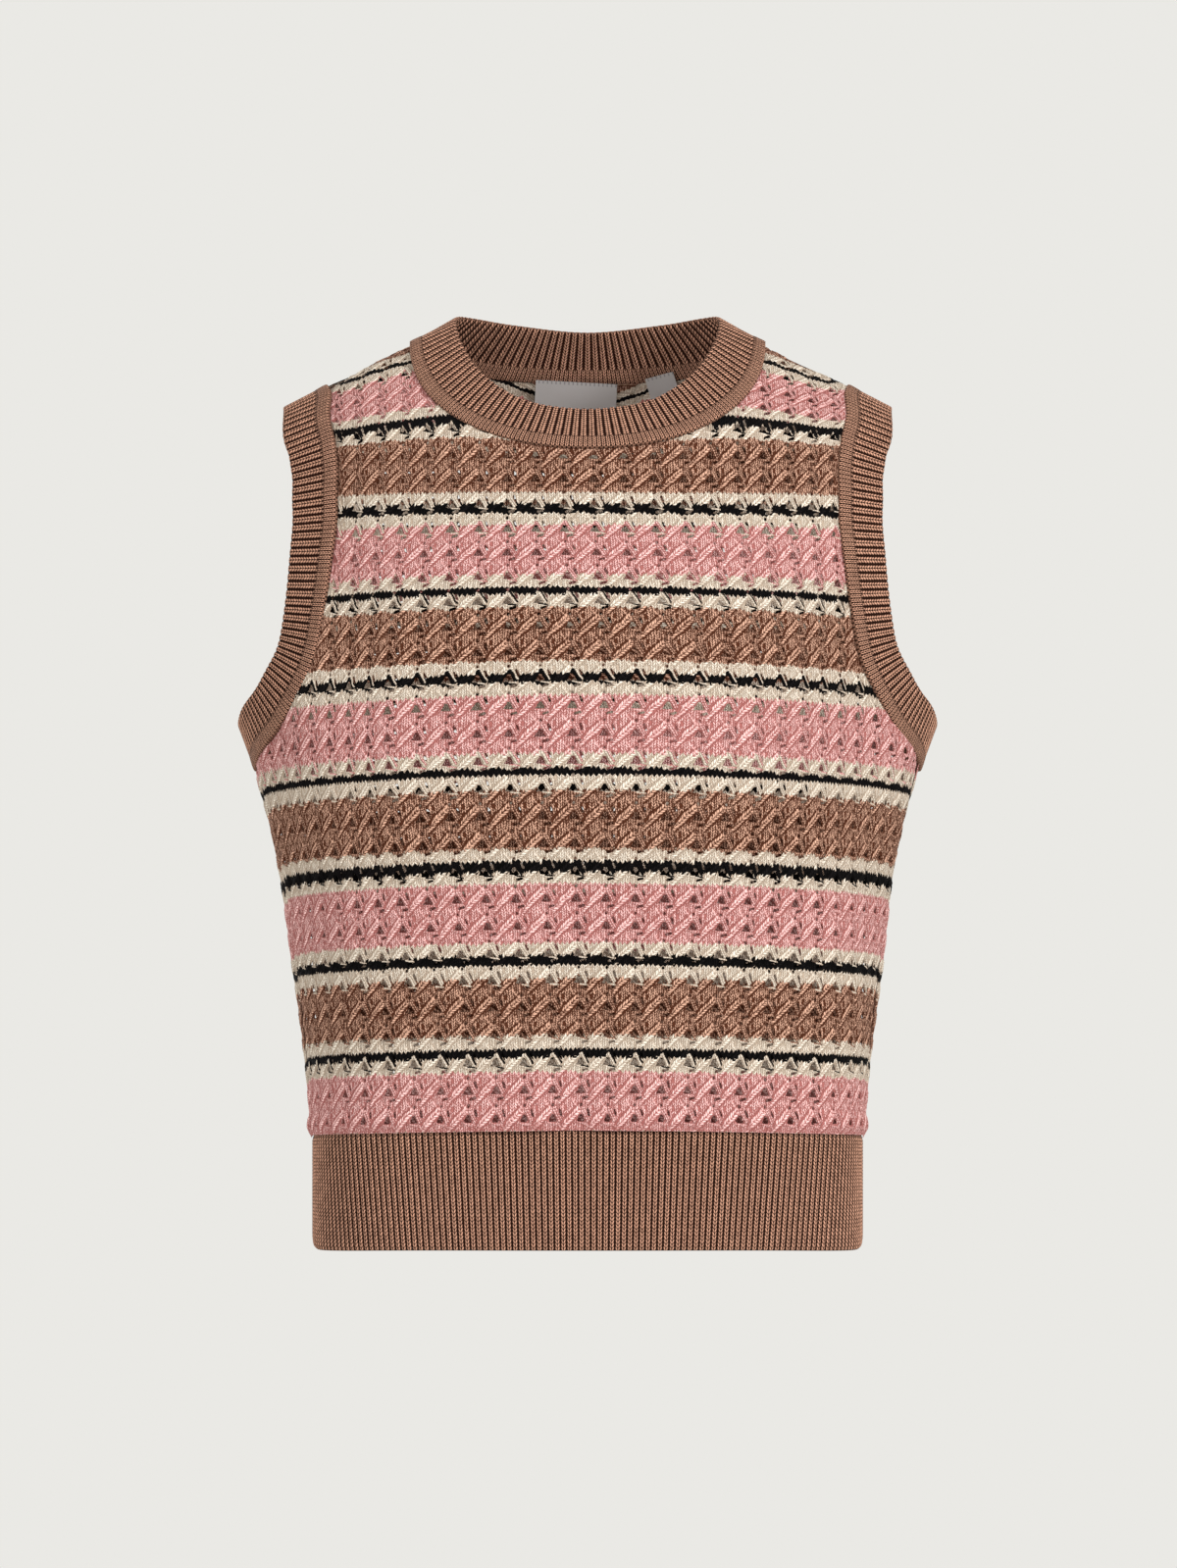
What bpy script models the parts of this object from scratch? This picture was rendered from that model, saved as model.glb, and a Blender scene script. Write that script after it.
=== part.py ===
"""Cropped knitted tank top in lace stripes, filled out as if worn.

Millimetres inside the functions, metres in the meshes. +Z is up, the front
faces -Y and the origin lies between the two neck ends of the shoulder seams.

The torso is a stack of level sections. Each section is an oval made of a front
and a back curve that share one half width. A place on the cloth is given by
its height and by its way round that section, counted from the centre front.
"""

import math
from collections import namedtuple

import bpy
import numpy as np
from mathutils.geometry import delaunay_2d_cdt

METRE = 0.001
COLLECTION = "knit_tank_top"

# Torso sections, from the shoulder line down to the top of the hem rib.
Section = namedtuple("Section", "height half_width front back front_round back_round")
TORSO = (
    Section(-436.0, 153.9, 100.0, 92.0, 2.70, 2.70),
    Section(-383.0, 158.0, 102.0, 89.5, 2.60, 2.60),
    Section(-340.0, 162.8, 105.0, 89.0, 2.50, 2.55),
    Section(-297.0, 167.6, 108.5, 91.0, 2.42, 2.50),
    Section(-270.0, 173.0, 111.5, 93.5, 2.38, 2.45),
    Section(-243.0, 180.6, 113.5, 96.0, 2.34, 2.40),
    Section(-210.0, 188.0, 112.5, 98.0, 2.26, 2.32),
    Section(-180.0, 191.0, 109.5, 98.0, 2.16, 2.24),
    Section(-150.0, 192.0, 104.0, 96.0, 2.05, 2.15),
    Section(-100.0, 188.0, 94.5, 88.0, 1.88, 2.00),
    Section(-75.0, 184.0, 90.0, 81.0, 1.80, 1.92),
    Section(-57.0, 179.0, 83.5, 74.0, 1.80, 1.90),
    Section(-40.0, 168.0, 66.0, 66.0, 1.86, 1.94),
    Section(-23.8, 143.6, 48.0, 57.5, 1.95, 2.02),
    Section(-10.0, 116.8, 36.0, 50.0, 2.05, 2.10),
    Section(0.0, 97.2, 28.0, 44.0, 2.10, 2.15),
)
HEM_SECTION = Section(-470.0, 150.6, 96.5, 88.5, 2.80, 2.80)

# The courses of the front ride up towards its centre by this much.
Rise = namedtuple("Rise", "height front back")
COURSE_RISE = (
    Rise(-494.6, 0.0, 0.0),
    Rise(-436.0, 7.4, 2.0),
    Rise(-400.0, 9.8, 3.0),
    Rise(-340.0, 11.3, 4.0),
    Rise(-290.0, 12.6, 5.0),
    Rise(-240.0, 14.6, 6.0),
    Rise(-190.0, 14.4, 6.0),
    Rise(-140.0, 10.0, 4.0),
    Rise(-95.0, 2.8, 1.5),
    Rise(0.0, 0.0, 0.0),
)

# Cut of the panels.
HEM_SEAM = -436.0
HEM_EDGE = -494.6
SIDE_SEAM_FORWARD = 22.0
SHOULDER_TIP = -23.8
NECK_HALF_WIDTH = 97.2
FRONT_NECK_DROP = 60.3
BACK_NECK_DROP = 18.6
NECK_ROUND = 2.15
UNDERARM = -235.5
Across = namedtuple("Across", "height front back")
ARMHOLE = (
    Across(-52.0, 139.7, 141.0),
    Across(-89.0, 137.5, 139.5),
    Across(-123.0, 140.4, 142.0),
    Across(-152.0, 144.6, 146.0),
    Across(-176.0, 149.6, 151.5),
    Across(-196.0, 159.0, 161.0),
    Across(-213.0, 169.0, 172.0),
)
# Lowest part of the armhole: way past the side line, towards the back, and height.
Under = namedtuple("Under", "past height")
UNDERARM_CURVE = (
    Under(-37.0, -225.5),
    Under(-18.0, -233.0),
    Under(2.0, UNDERARM),
    Under(22.0, -232.5),
    Under(40.0, -224.5),
)
SEAM_GAP = 0.45

# Walls.
LACE_WALL = 2.2
BAND_WALL = 2.6
LABEL_WALL = 0.6

# Ribbed bands: a plain linked strip along the seam, then one by one rib.
RIB_PITCH = 3.4
RIB_RAISE = 1.1
LINK_RAISE = 0.7
LABEL_GAP = 1.5
Band = namedtuple("Band", "link depth ribs")
NECK_BAND = Band(link=7.5, depth=31.5, ribs=116)
ARM_BAND = Band(link=7.0, depth=27.0, ribs=120)
# Free edge of the neck band, from centre front over the shoulder to centre back.
Opening = namedtuple("Opening", "across depth height")
NECK_OPENING = (
    Opening(0.0, -61.0, -39.2),
    Opening(29.0, -57.0, -35.7),
    Opening(46.0, -49.5, -27.8),
    Opening(59.5, -38.5, -16.5),
    Opening(68.5, -23.5, -3.0),
    Opening(72.5, -7.0, 9.0),
    Opening(71.5, 8.0, 14.4),
    Opening(63.0, 21.5, 14.6),
    Opening(40.0, 34.5, 11.4),
    Opening(0.0, 41.0, 7.8),
)
UNDERARM_FLARE = 8.0
RIBS_A_SPAN = 2

# Lace: a lattice of eyelets in rows, the widest of which are cut through.
Lace = namedtuple("Lace", "row height")
LACE_ROWS = (
    Lace(0, -430.8),
    Lace(7, -330.8),
    Lace(14, -230.2),
    Lace(21, -125.7),
    Lace(24, -78.8),
)
Pitch = namedtuple("Pitch", "height wide")
LACE_PITCH = (
    Pitch(-436.0, 14.8),
    Pitch(-340.0, 16.0),
    Pitch(-240.0, 17.1),
    Pitch(-190.0, 17.2),
    Pitch(-115.0, 16.5),
    Pitch(-40.0, 16.0),
)
CUT_ROWS = (2, 6, 9, 13, 16, 20, 23)
LEAN_AT_HEM = -0.25
LEAN_PER_ROW = -0.022
EYELET_WIDE = 6.0
EYELET_HIGH = 4.2
EYELET_MARGIN = 14.5
CURVE_ROW = 26.0
CURVE_PITCHES = 1.2
CURVE_MARGIN = 6.0
SHOULDER_TOP_ROWS = -52.0
SHOULDER_ROW = 8.0
SHOULDER_PITCH = 11.0
SHOULDER_POINTS = 9

# Labels inside the back neck: centre across, top height, width, drop, turn.
Label = namedtuple("Label", "name across top wide drop turn")
LABELS = (
    Label("neck_label", -6.3, -21.0, 46.0, 22.0, -3.0),
    Label("size_tab", 40.5, -16.6, 16.5, 15.0, 15.0),
)

QUARTER = np.linspace(0.0, math.pi / 2, 91)


def smooth(table, column, at):
    """Cubic curve through one column of a table, against its height column."""
    knots = np.array([row.height for row in table])
    values = np.array([getattr(row, column) for row in table], float)
    order = np.argsort(knots)
    knots, values = knots[order], values[order]
    slopes = np.gradient(values, knots)
    at = np.clip(at, knots[0], knots[-1])
    low = np.clip(np.searchsorted(knots, at) - 1, 0, len(knots) - 2)
    gap = knots[low + 1] - knots[low]
    t = (at - knots[low]) / gap
    start = (1 + 2 * t) * (1 - t) ** 2 * values[low] + t * (1 - t) ** 2 * gap * slopes[low]
    end = t**2 * (3 - 2 * t) * values[low + 1] + t**2 * (t - 1) * gap * slopes[low + 1]
    return start + end


def sections(heights):
    """The torso's section values at each height, as one Section of arrays."""
    heights = np.atleast_1d(np.asarray(heights, float))
    columns = [smooth(TORSO, name, heights) for name in Section._fields[1:]]
    return Section(heights, *columns)


def same_section(section, count):
    return Section(*(np.full(count, value) for value in section))


def half_rings(section):
    """Right half of each section as points from centre front to centre back."""
    wide = section.half_width[:, None]
    front = 2 / section.front_round[:, None]
    back = 2 / section.back_round[:, None]
    sine = np.sin(QUARTER)
    cosine = np.abs(np.cos(QUARTER))
    x = np.hstack([wide * sine**front, wide * cosine[1:] ** back])
    y = np.hstack([
        -section.front[:, None] * cosine**front,
        section.back[:, None] * sine[1:] ** back,
    ])
    steps = np.hypot(np.diff(x, axis=1), np.diff(y, axis=1))
    way = np.hstack([np.zeros((len(x), 1)), np.cumsum(steps, axis=1)])
    return x, y, way


def side_way(heights):
    """Way from centre front to the widest point of the side."""
    return half_rings(sections(heights))[2][:, len(QUARTER) - 1]


def half_girth(heights):
    return half_rings(sections(heights))[2][:, -1]


def normals(section, x, y):
    """Outward directions of the stacked sections at points that lie on them."""
    step = 0.5
    above, below = sections(section.height + step), sections(section.height - step)
    rounds = np.where(y < 0, section.front_round, section.back_round)
    depth = np.where(y < 0, section.front, section.back)

    def level(part):
        power = np.where(y < 0, part.front_round, part.back_round)
        deep = np.where(y < 0, part.front, part.back)
        return (np.abs(x) / part.half_width) ** power + (np.abs(y) / deep) ** power

    out = np.stack([
        rounds * np.sign(x) * (np.abs(x) / section.half_width) ** (rounds - 1) / section.half_width,
        rounds * np.sign(y) * (np.abs(y) / depth) ** (rounds - 1) / depth,
        (level(above) - level(below)) / (above.height - below.height),
    ], axis=1)
    return out / np.linalg.norm(out, axis=1, keepdims=True)


def on_section(section, way):
    """Points and outward directions at a signed way round each section."""
    x, y, ways = half_rings(section)
    reach = np.abs(way)
    px = np.array([np.interp(r, w, row) for r, w, row in zip(reach, ways, x)])
    py = np.array([np.interp(r, w, row) for r, w, row in zip(reach, ways, y)])
    px = px * np.where(way < 0, -1.0, 1.0)
    return np.stack([px, py, section.height], axis=1), normals(section, px, py)


def on_front(places):
    """Points and normals of the front for rows of (way from centre, height)."""
    return on_section(sections(places[:, 1]), places[:, 0])


def on_back(places):
    """The same for the back, whose way runs from the centre back to its left."""
    way = half_girth(places[:, 1]) - np.abs(places[:, 0])
    side = np.where(places[:, 0] > 0, -1.0, 1.0)
    return on_section(sections(places[:, 1]), way * side)


def way_at(across, heights, on_the_back=False):
    """Way from the centre front at which the section is this far across."""
    x, _, ways = half_rings(sections(heights))
    middle = len(QUARTER) - 1
    found = []
    for reach, row, way in zip(np.atleast_1d(across), x, ways):
        if on_the_back:
            found.append(np.interp(reach, row[middle:][::-1], way[middle:][::-1]))
        else:
            found.append(np.interp(reach, row[: middle + 1], way[: middle + 1]))
    return np.array(found)


def risen(way, level, face):
    """Height of a course on the front or back, given its height at the side."""
    level = np.broadcast_to(np.asarray(level, float), np.shape(way)).copy()
    rise = smooth(COURSE_RISE, face, level)
    across = np.abs(way) / side_way(level)
    return level + rise * np.clip(1 - across**2, 0, 1)


def catmull_rom(points, per_span):
    """Closed smooth curve through the points."""
    points = np.asarray(points, float)
    t = np.linspace(0, 1, per_span, endpoint=False)[:, None]
    spans = []
    for i in range(len(points)):
        a, b, c, d = (points[(i + k) % len(points)] for k in (-1, 0, 1, 2))
        spans.append(0.5 * (2 * b + (c - a) * t + (2 * a - 5 * b + 4 * c - d) * t**2
                            + (3 * b - a - 3 * c + d) * t**3))
    return np.vstack(spans)


def even(points, count, closed=False):
    """The same curve as this many evenly spaced points."""
    if closed:
        points = np.vstack([points, points[:1]])
    way = np.concatenate([[0], np.cumsum(np.linalg.norm(np.diff(points, axis=0), axis=1))])
    at = np.linspace(0, way[-1], count + closed)[: count]
    return np.stack([np.interp(at, way, column) for column in points.T], axis=1)


def armhole_places():
    """Armhole seam as (way past the side line, height), from the shoulder down the front."""
    heights = np.array([row.height for row in ARMHOLE])
    middle = side_way(heights)
    front = way_at([row.front for row in ARMHOLE], heights) - middle
    back = way_at([row.back for row in ARMHOLE], heights, on_the_back=True) - middle
    corners = [(0.0, SHOULDER_TIP)]
    corners += list(zip(front, heights))
    corners += [tuple(under) for under in UNDERARM_CURVE]
    corners += list(zip(back[::-1], heights[::-1]))
    return catmull_rom(corners, 12)


def armhole_way(face):
    """The armhole's part on one panel, from underarm to shoulder, as (way, height)."""
    places = armhole_places()
    low = places[:, 1] < UNDERARM + 30
    after = int(np.argmax(low & (places[:, 0] > -SIDE_SEAM_FORWARD)))
    last, following = places[after - 1], places[after]
    share = (-SIDE_SEAM_FORWARD - last[0]) / (following[0] - last[0])
    split = last + share * (following - last)
    if face == "front":
        part = np.vstack([places[:after], split])[::-1]
    else:
        part = np.vstack([split, places[after:], places[:1]])
    way = side_way(part[:, 1]) + part[:, 0]
    if face == "back":
        way = half_girth(part[:, 1]) - way
    return np.stack([way, part[:, 1]], axis=1)


def neckline(face, count):
    """Neck seam from the shoulder to the centre, as (across, height)."""
    drop = FRONT_NECK_DROP if face == "front" else BACK_NECK_DROP
    turn = np.linspace(math.pi / 2, 0, count)
    across = NECK_HALF_WIDTH * np.sin(turn) ** (2 / NECK_ROUND)
    height = -drop * np.abs(np.cos(turn)) ** (2 / NECK_ROUND)
    return np.stack([across, height], axis=1)


def half_outline(face):
    """Right half of a panel's edge from hem centre to neck centre, as (way, height)."""
    seam = SIDE_SEAM_FORWARD if face == "front" else -SIDE_SEAM_FORWARD

    def edge(height):
        whole = side_way(height) if face == "front" else half_girth(height) - side_way(height)
        return whole - seam - SEAM_GAP / 2

    hem_way = np.linspace(0, edge(HEM_SEAM)[0], 17)
    hem = np.stack([hem_way, risen(hem_way, HEM_SEAM, face)], axis=1)
    arm = even(armhole_way(face), 42)
    heights = np.linspace(HEM_SEAM, arm[0, 1], 10)[1:-1]
    side = np.stack([edge(heights), heights], axis=1)
    shoulder_heights = np.linspace(SHOULDER_TIP, 0, SHOULDER_POINTS)
    reach = side_way(shoulder_heights)
    if face == "back":
        reach = half_girth(shoulder_heights) - reach
    shoulder = np.stack([reach - SEAM_GAP / 2, shoulder_heights], axis=1)
    arm[-1] = shoulder[0]
    seam_line = neckline(face, 41)
    way = way_at(seam_line[:, 0], seam_line[:, 1], face == "back")
    if face == "back":
        way = half_girth(seam_line[:, 1]) - way
    neck = even(np.stack([way, seam_line[:, 1]], axis=1), 23)
    arm[0, 0] = edge(arm[:1, 1])[0]
    return np.vstack([hem, side, arm[:-1], shoulder[:-1], neck])


def outline(face):
    half = half_outline(face)
    left = half[1:-1][::-1] * (-1, 1)
    return np.vstack([half, left])


def inside(points, edge):
    """Which points lie within a closed outline."""
    x, y = points[:, :1], points[:, 1:]
    x1, y1 = edge[:, 0], edge[:, 1]
    x2, y2 = np.roll(x1, -1), np.roll(y1, -1)
    crosses = (y1 > y) != (y2 > y)
    span = np.where(y1 == y2, 1.0, y2 - y1)
    return (crosses & (x < x1 + (y - y1) * (x2 - x1) / span)).sum(axis=1) % 2 == 1


def clearance(points, edge):
    """Distance from each point to the nearest side of an outline."""
    start, end = edge, np.roll(edge, -1, axis=0)
    side = end - start
    along = ((points[:, None] - start) * side).sum(axis=2) / (side**2).sum(axis=1)
    nearest = start + np.clip(along, 0, 1)[:, :, None] * side
    return np.linalg.norm(points[:, None] - nearest, axis=2).min(axis=1)


def row_level(row):
    """Height at the side of a row of eyelets."""
    rows = [lace.row for lace in LACE_ROWS]
    return float(np.interp(row, rows, [lace.height for lace in LACE_ROWS]))


def eyelet_centres(face, edge):
    """Places of the eyelets that are cut through."""
    centres = []
    for row in CUT_ROWS:
        level = row_level(row)
        pitch = smooth(LACE_PITCH, "wide", level)
        shift = LEAN_AT_HEM + LEAN_PER_ROW * row
        way = (np.arange(-16, 18) + shift) * pitch
        centres.append(np.stack([way, risen(way, level, face)], axis=1))
    centres = np.vstack(centres)
    centres = centres[inside(centres, edge)]
    return centres[clearance(centres, edge) > EYELET_MARGIN]


def curve_places(edge, eyelets):
    """Inner places that let the panel follow its curve, clear of edges and eyelets."""
    places = []
    levels = np.arange(HEM_SEAM + CURVE_ROW / 2, SHOULDER_TOP_ROWS, CURVE_ROW)
    levels = np.append(levels, np.arange(SHOULDER_TOP_ROWS, 0, SHOULDER_ROW))
    for number, height in enumerate(levels):
        pitch = float(smooth(LACE_PITCH, "wide", height)) * CURVE_PITCHES
        if height > SHOULDER_TOP_ROWS:
            pitch = SHOULDER_PITCH
        way = (np.arange(-16, 17) + 0.5 * (number % 2)) * pitch
        places.append(np.stack([way, np.full(len(way), height)], axis=1))
    places = np.vstack(places)
    places = places[inside(places, edge)]
    places = places[clearance(places, edge) > CURVE_MARGIN]
    apart = np.linalg.norm(places[:, None] - eyelets, axis=2).min(axis=1)
    return places[apart > CURVE_MARGIN]


def new_object(name, points, faces, collection, material):
    mesh = bpy.data.meshes.new(name)
    mesh.from_pydata((np.asarray(points) * METRE).tolist(), [], faces)
    mesh.validate()
    mesh.materials.append(material)
    piece = bpy.data.objects.new(name, mesh)
    collection.objects.link(piece)
    return piece


def add_sheet(name, points, out, faces, wall, collection, material):
    """Closed wall from an outer surface, its outward directions and a thickness.

    The directions are those of the torso, so that pieces which share a seam
    also share the plane in which their walls meet.
    """
    count = len(points)
    both = np.vstack([points, points - out * wall])
    edges = [pair for face in faces for pair in zip(face, face[1:] + face[:1])]
    held = set(edges)
    rim = [(b, a, a + count, b + count) for a, b in edges if (b, a) not in held]
    inner = [tuple(i + count for i in face[::-1]) for face in faces]
    return new_object(name, both, faces + inner + rim, collection, material)


def add_panel(name, face, collection, material):
    """Front or back: its outline, its cut eyelets and a lace wall."""
    edge = outline(face)
    centres = eyelet_centres(face, edge)
    corners = np.array([
        (-EYELET_WIDE / 2, -EYELET_HIGH / 2),
        (EYELET_WIDE / 2, -EYELET_HIGH / 2),
        (0.0, EYELET_HIGH / 2),
    ])
    eyelets = (centres[:, None] + corners).reshape(-1, 2)
    places = np.vstack([edge, eyelets, curve_places(edge, centres)])
    around = list(range(len(edge)))
    first = len(edge)
    holes = {frozenset(range(first + 3 * i, first + 3 * i + 3)) for i in range(len(centres))}
    rims = [(a, b) for hole in holes for a in hole for b in hole if a < b]
    found = delaunay_2d_cdt([tuple(place) for place in places], rims, [around], 1, 1e-5)
    flat, faces, origins = found[0], found[2], found[3]
    origin = [indices[0] if indices else -1 for indices in origins]
    faces = [tuple(part) for part in faces if frozenset(origin[i] for i in part) not in holes]
    flat = np.array([tuple(place) for place in flat])
    points, out = (on_front if face == "front" else on_back)(flat)
    return add_sheet(name, points, out, faces, LACE_WALL, collection, material)


def bridge_rim(outer, inner, ratio, closed):
    """Triangles that close the edge between many outer and few inner points."""
    faces = []
    half = ratio // 2
    for j in range(len(inner) if closed else len(inner) - 1):
        near, far = inner[j], inner[(j + 1) % len(inner)]
        over = [outer[(j * ratio + k) % len(outer)] for k in range(ratio + 1)]
        faces += [(near, over[k], over[k + 1]) for k in range(half)]
        faces.append((near, over[half], far))
        faces += [(far, over[k], over[k + 1]) for k in range(half, ratio)]
    return faces


def wall_solid(name, outer, inner, ratio, closed, collection, material):
    """Closed wall between fine outer rings and coarse inner rings.

    Rings run in the same direction, from the seam to the free edge. The outer
    rings have ratio times as many steps as the inner ones.
    """
    outer, inner = np.asarray(outer), np.asarray(inner)
    rows, wide = outer.shape[:2]
    few_rows, few = inner.shape[:2]
    points = np.vstack([outer.reshape(-1, 3), inner.reshape(-1, 3)])
    out = np.arange(rows * wide).reshape(rows, wide)
    into = rows * wide + np.arange(few_rows * few).reshape(few_rows, few)
    faces = []
    for grid, flip in ((out, False), (into, True)):
        steps = grid.shape[1] if closed else grid.shape[1] - 1
        for r in range(grid.shape[0] - 1):
            for c in range(steps):
                d = (c + 1) % grid.shape[1]
                quad = (grid[r, c], grid[r, d], grid[r + 1, d], grid[r + 1, c])
                faces.append(quad[::-1] if flip else quad)
    seam = bridge_rim(list(out[0]), list(into[0]), ratio, closed)
    free = bridge_rim(list(out[-1]), list(into[-1]), ratio, closed)
    faces += [face[::-1] for face in seam]
    faces += free
    if not closed:
        for c, turned in ((0, True), (-1, False)):
            end = list(out[:, c]) + list(into[::-1, c])
            faces.append(tuple(end if turned else end[::-1]))
    faces = [tuple(int(i) for i in face) for face in faces]
    return new_object(name, points, faces, collection, material)


def teeth(count):
    """One for a rib's crest and zero for its groove, two points to a rib."""
    return (np.arange(count) % 2).astype(float)[:, None]


def add_band(name, seam, seam_out, out, lean, band, collection, material):
    """Ribbed band from a closed seam: lean is its way from seam to free edge."""
    count = len(seam)
    crest = teeth(count)
    outer = [
        seam + lean * SEAM_GAP + seam_out * LINK_RAISE,
        seam + lean * band.link + out * LINK_RAISE,
        seam + lean * (band.link + 0.8) + out * RIB_RAISE * crest,
        seam + lean * band.depth + out * RIB_RAISE * crest,
    ]
    ratio = 2 * RIBS_A_SPAN
    few = slice(None, None, ratio)
    inner = [
        (seam + lean * SEAM_GAP - seam_out * BAND_WALL)[few],
        (seam + lean * band.depth - out * BAND_WALL)[few],
    ]
    return wall_solid(name, outer, inner, ratio, True, collection, material)


def unit(vectors):
    return vectors / np.linalg.norm(vectors, axis=1, keepdims=True)


def tangents(loop):
    return unit(np.roll(loop, -1, axis=0) - np.roll(loop, 1, axis=0))


def relax(vectors, rounds):
    """Evens out directions along a closed loop."""
    for _ in range(rounds):
        vectors = unit(np.roll(vectors, 1, axis=0) + 2 * vectors + np.roll(vectors, -1, axis=0))
    return vectors


def neck_seam():
    """Neck seam as a closed loop, counter-clockwise from above."""
    front = neckline("front", 121)
    back = neckline("back", 121)[::-1]
    shape = sections(front[:, 1])
    depth = -shape.front * np.clip(1 - (front[:, 0] / shape.half_width) ** shape.front_round,
                                   0, 1) ** (1 / shape.front_round)
    front = np.stack([front[:, 0], depth, front[:, 1]], axis=1)
    shape = sections(back[:, 1])
    depth = shape.back * np.clip(1 - (back[:, 0] / shape.half_width) ** shape.back_round,
                                 0, 1) ** (1 / shape.back_round)
    back = np.stack([back[:, 0], depth, back[:, 1]], axis=1)
    right = np.vstack([front[::-1], back[::-1][1:]])
    left = right[1:-1][::-1] * (-1, 1, 1)
    return np.vstack([right, left])


def round_way(loop):
    """Way along each half of a mirrored loop, 0 at the front, 1 at the side and 2 at the back."""
    half = loop[: len(loop) // 2 + 1]
    way = np.concatenate([[0], np.cumsum(np.linalg.norm(np.diff(half, axis=0), axis=1))])
    side = float(np.interp(0.0, half[:, 1], way))
    return half, np.where(way < side, way / side, 1 + (way - side) / (way[-1] - side))


def neck_opening(seam):
    """The place on the neck band's free edge that faces each point of its seam."""
    right = [tuple(place) for place in NECK_OPENING]
    left = [(-x, y, z) for x, y, z in right[-2:0:-1]]
    half, way = round_way(catmull_rom(right + left, 12))
    seam_half, seam_way = round_way(seam)
    facing = np.stack([np.interp(seam_way, way, column) for column in half.T], axis=1)
    return np.vstack([facing, facing[-2:0:-1] * (-1, 1, 1)])


def add_neck_rib(collection, material):
    seam = even(neck_seam(), 2 * NECK_BAND.ribs, closed=True)
    lean = relax(unit(neck_opening(seam) - seam), 3)
    out = relax(unit(np.cross(tangents(seam), lean)), 4)
    shape = sections(seam[:, 2])
    seam_out = normals(shape, seam[:, 0], seam[:, 1])
    return add_band("neck_rib", seam, seam_out, out, lean, NECK_BAND, collection, material)


def add_armhole_rib(name, side, collection, material):
    """Armhole band of one side: +1 is the side at +X, -1 the one at -X."""
    places = armhole_places()
    way = side_way(places[:, 1]) + places[:, 0]
    loop = on_section(sections(places[:, 1]), way)[0]
    seam = even(loop, 2 * ARM_BAND.ribs, closed=True)
    seam_out = normals(sections(seam[:, 2]), seam[:, 0], seam[:, 1])
    out = relax(seam_out, 8)
    along = tangents(seam)
    lean = unit(np.cross(out, along))
    if lean[0] @ (seam.mean(axis=0) - seam[0]) < 0:
        lean = -lean
    low = np.clip((seam[:, 2:] - UNDERARM) / (SHOULDER_TIP - UNDERARM), 0, 1)
    flare = np.radians(UNDERARM_FLARE) * (1 - low) ** 3
    lean = relax(unit(lean * np.cos(flare) + out * np.sin(flare)), 4)
    out = unit(out - lean * (out * lean).sum(axis=1, keepdims=True))
    mirror = np.array([side, 1.0, 1.0])
    parts = [part * mirror for part in (seam, seam_out, out, lean)]
    if np.cross(tangents(parts[0])[0], parts[3][0]) @ parts[2][0] < 0:
        parts = [np.roll(part[::-1], 1, axis=0) for part in parts]
    return add_band(name, *parts, ARM_BAND, collection, material)


def add_hem_rib(name, face, collection, material):
    """Front or back half of the hem rib, between the side seams."""
    girth = half_rings(same_section(HEM_SECTION, 1))[2][0]
    side = girth[len(QUARTER) - 1]
    if face == "front":
        reach = side - SIDE_SEAM_FORWARD - SEAM_GAP / 2
    else:
        reach = girth[-1] - side + SIDE_SEAM_FORWARD - SEAM_GAP / 2
    ratio = 2 * RIBS_A_SPAN
    count = ratio * round(2 * reach / RIB_PITCH / RIBS_A_SPAN) + 1
    way = np.linspace(-reach, reach, count)
    around = way
    if face == "back":
        around = (girth[-1] - np.abs(way)) * np.where(way > 0, -1.0, 1.0)
    shape = same_section(HEM_SECTION, count)
    points, _ = on_section(shape, around)
    level = np.gradient(points[:, :2], axis=0)
    out = unit(np.stack([level[:, 1], -level[:, 0], np.zeros(count)], axis=1))
    seam_level = HEM_SEAM - SEAM_GAP
    rise = smooth(COURSE_RISE, face, seam_level)
    across = np.abs(way) / (side if face == "front" else girth[-1] - side)
    top = points.copy()
    top[:, 2] = seam_level + rise * np.clip(1 - across**2, 0, 1)
    bottom = points.copy()
    bottom[:, 2] = HEM_EDGE
    crest = teeth(count)
    crest[[0, -1]] = 0.0
    outer = [bottom + out * RIB_RAISE * crest, top + out * RIB_RAISE * crest]
    inner = [(bottom - out * BAND_WALL)[::ratio], (top - out * BAND_WALL)[::ratio]]
    return wall_solid(name, outer, inner, ratio, False, collection, material)


def add_label(label, collection, material):
    """Small satin label against the inside of the back, below the neck seam."""
    wide = np.linspace(-label.wide / 2, label.wide / 2, 9)
    drop = np.linspace(-label.drop, 0, 4)
    turn = math.radians(label.turn)
    places = []
    for v in drop:
        for u in wide:
            places.append((
                -label.across - u * math.cos(turn) + v * math.sin(turn),
                label.top + u * math.sin(turn) + v * math.cos(turn),
            ))
    points, out = on_back(np.array(places))
    points = points - out * (LACE_WALL + LABEL_GAP)
    count = len(wide)
    faces = []
    for r in range(len(drop) - 1):
        for c in range(count - 1):
            a = r * count + c
            faces.append((a, a + count, a + count + 1, a + 1))
    return add_sheet(label.name, points, out, faces, LABEL_WALL, collection, material)


def make_material(name, colour, roughness):
    material = bpy.data.materials.new(name)
    material.use_nodes = True
    shader = material.node_tree.nodes["Principled BSDF"]
    shader.inputs["Base Color"].default_value = (*colour, 1.0)
    shader.inputs["Roughness"].default_value = roughness
    shader.inputs["Metallic"].default_value = 0.0
    return material


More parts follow.
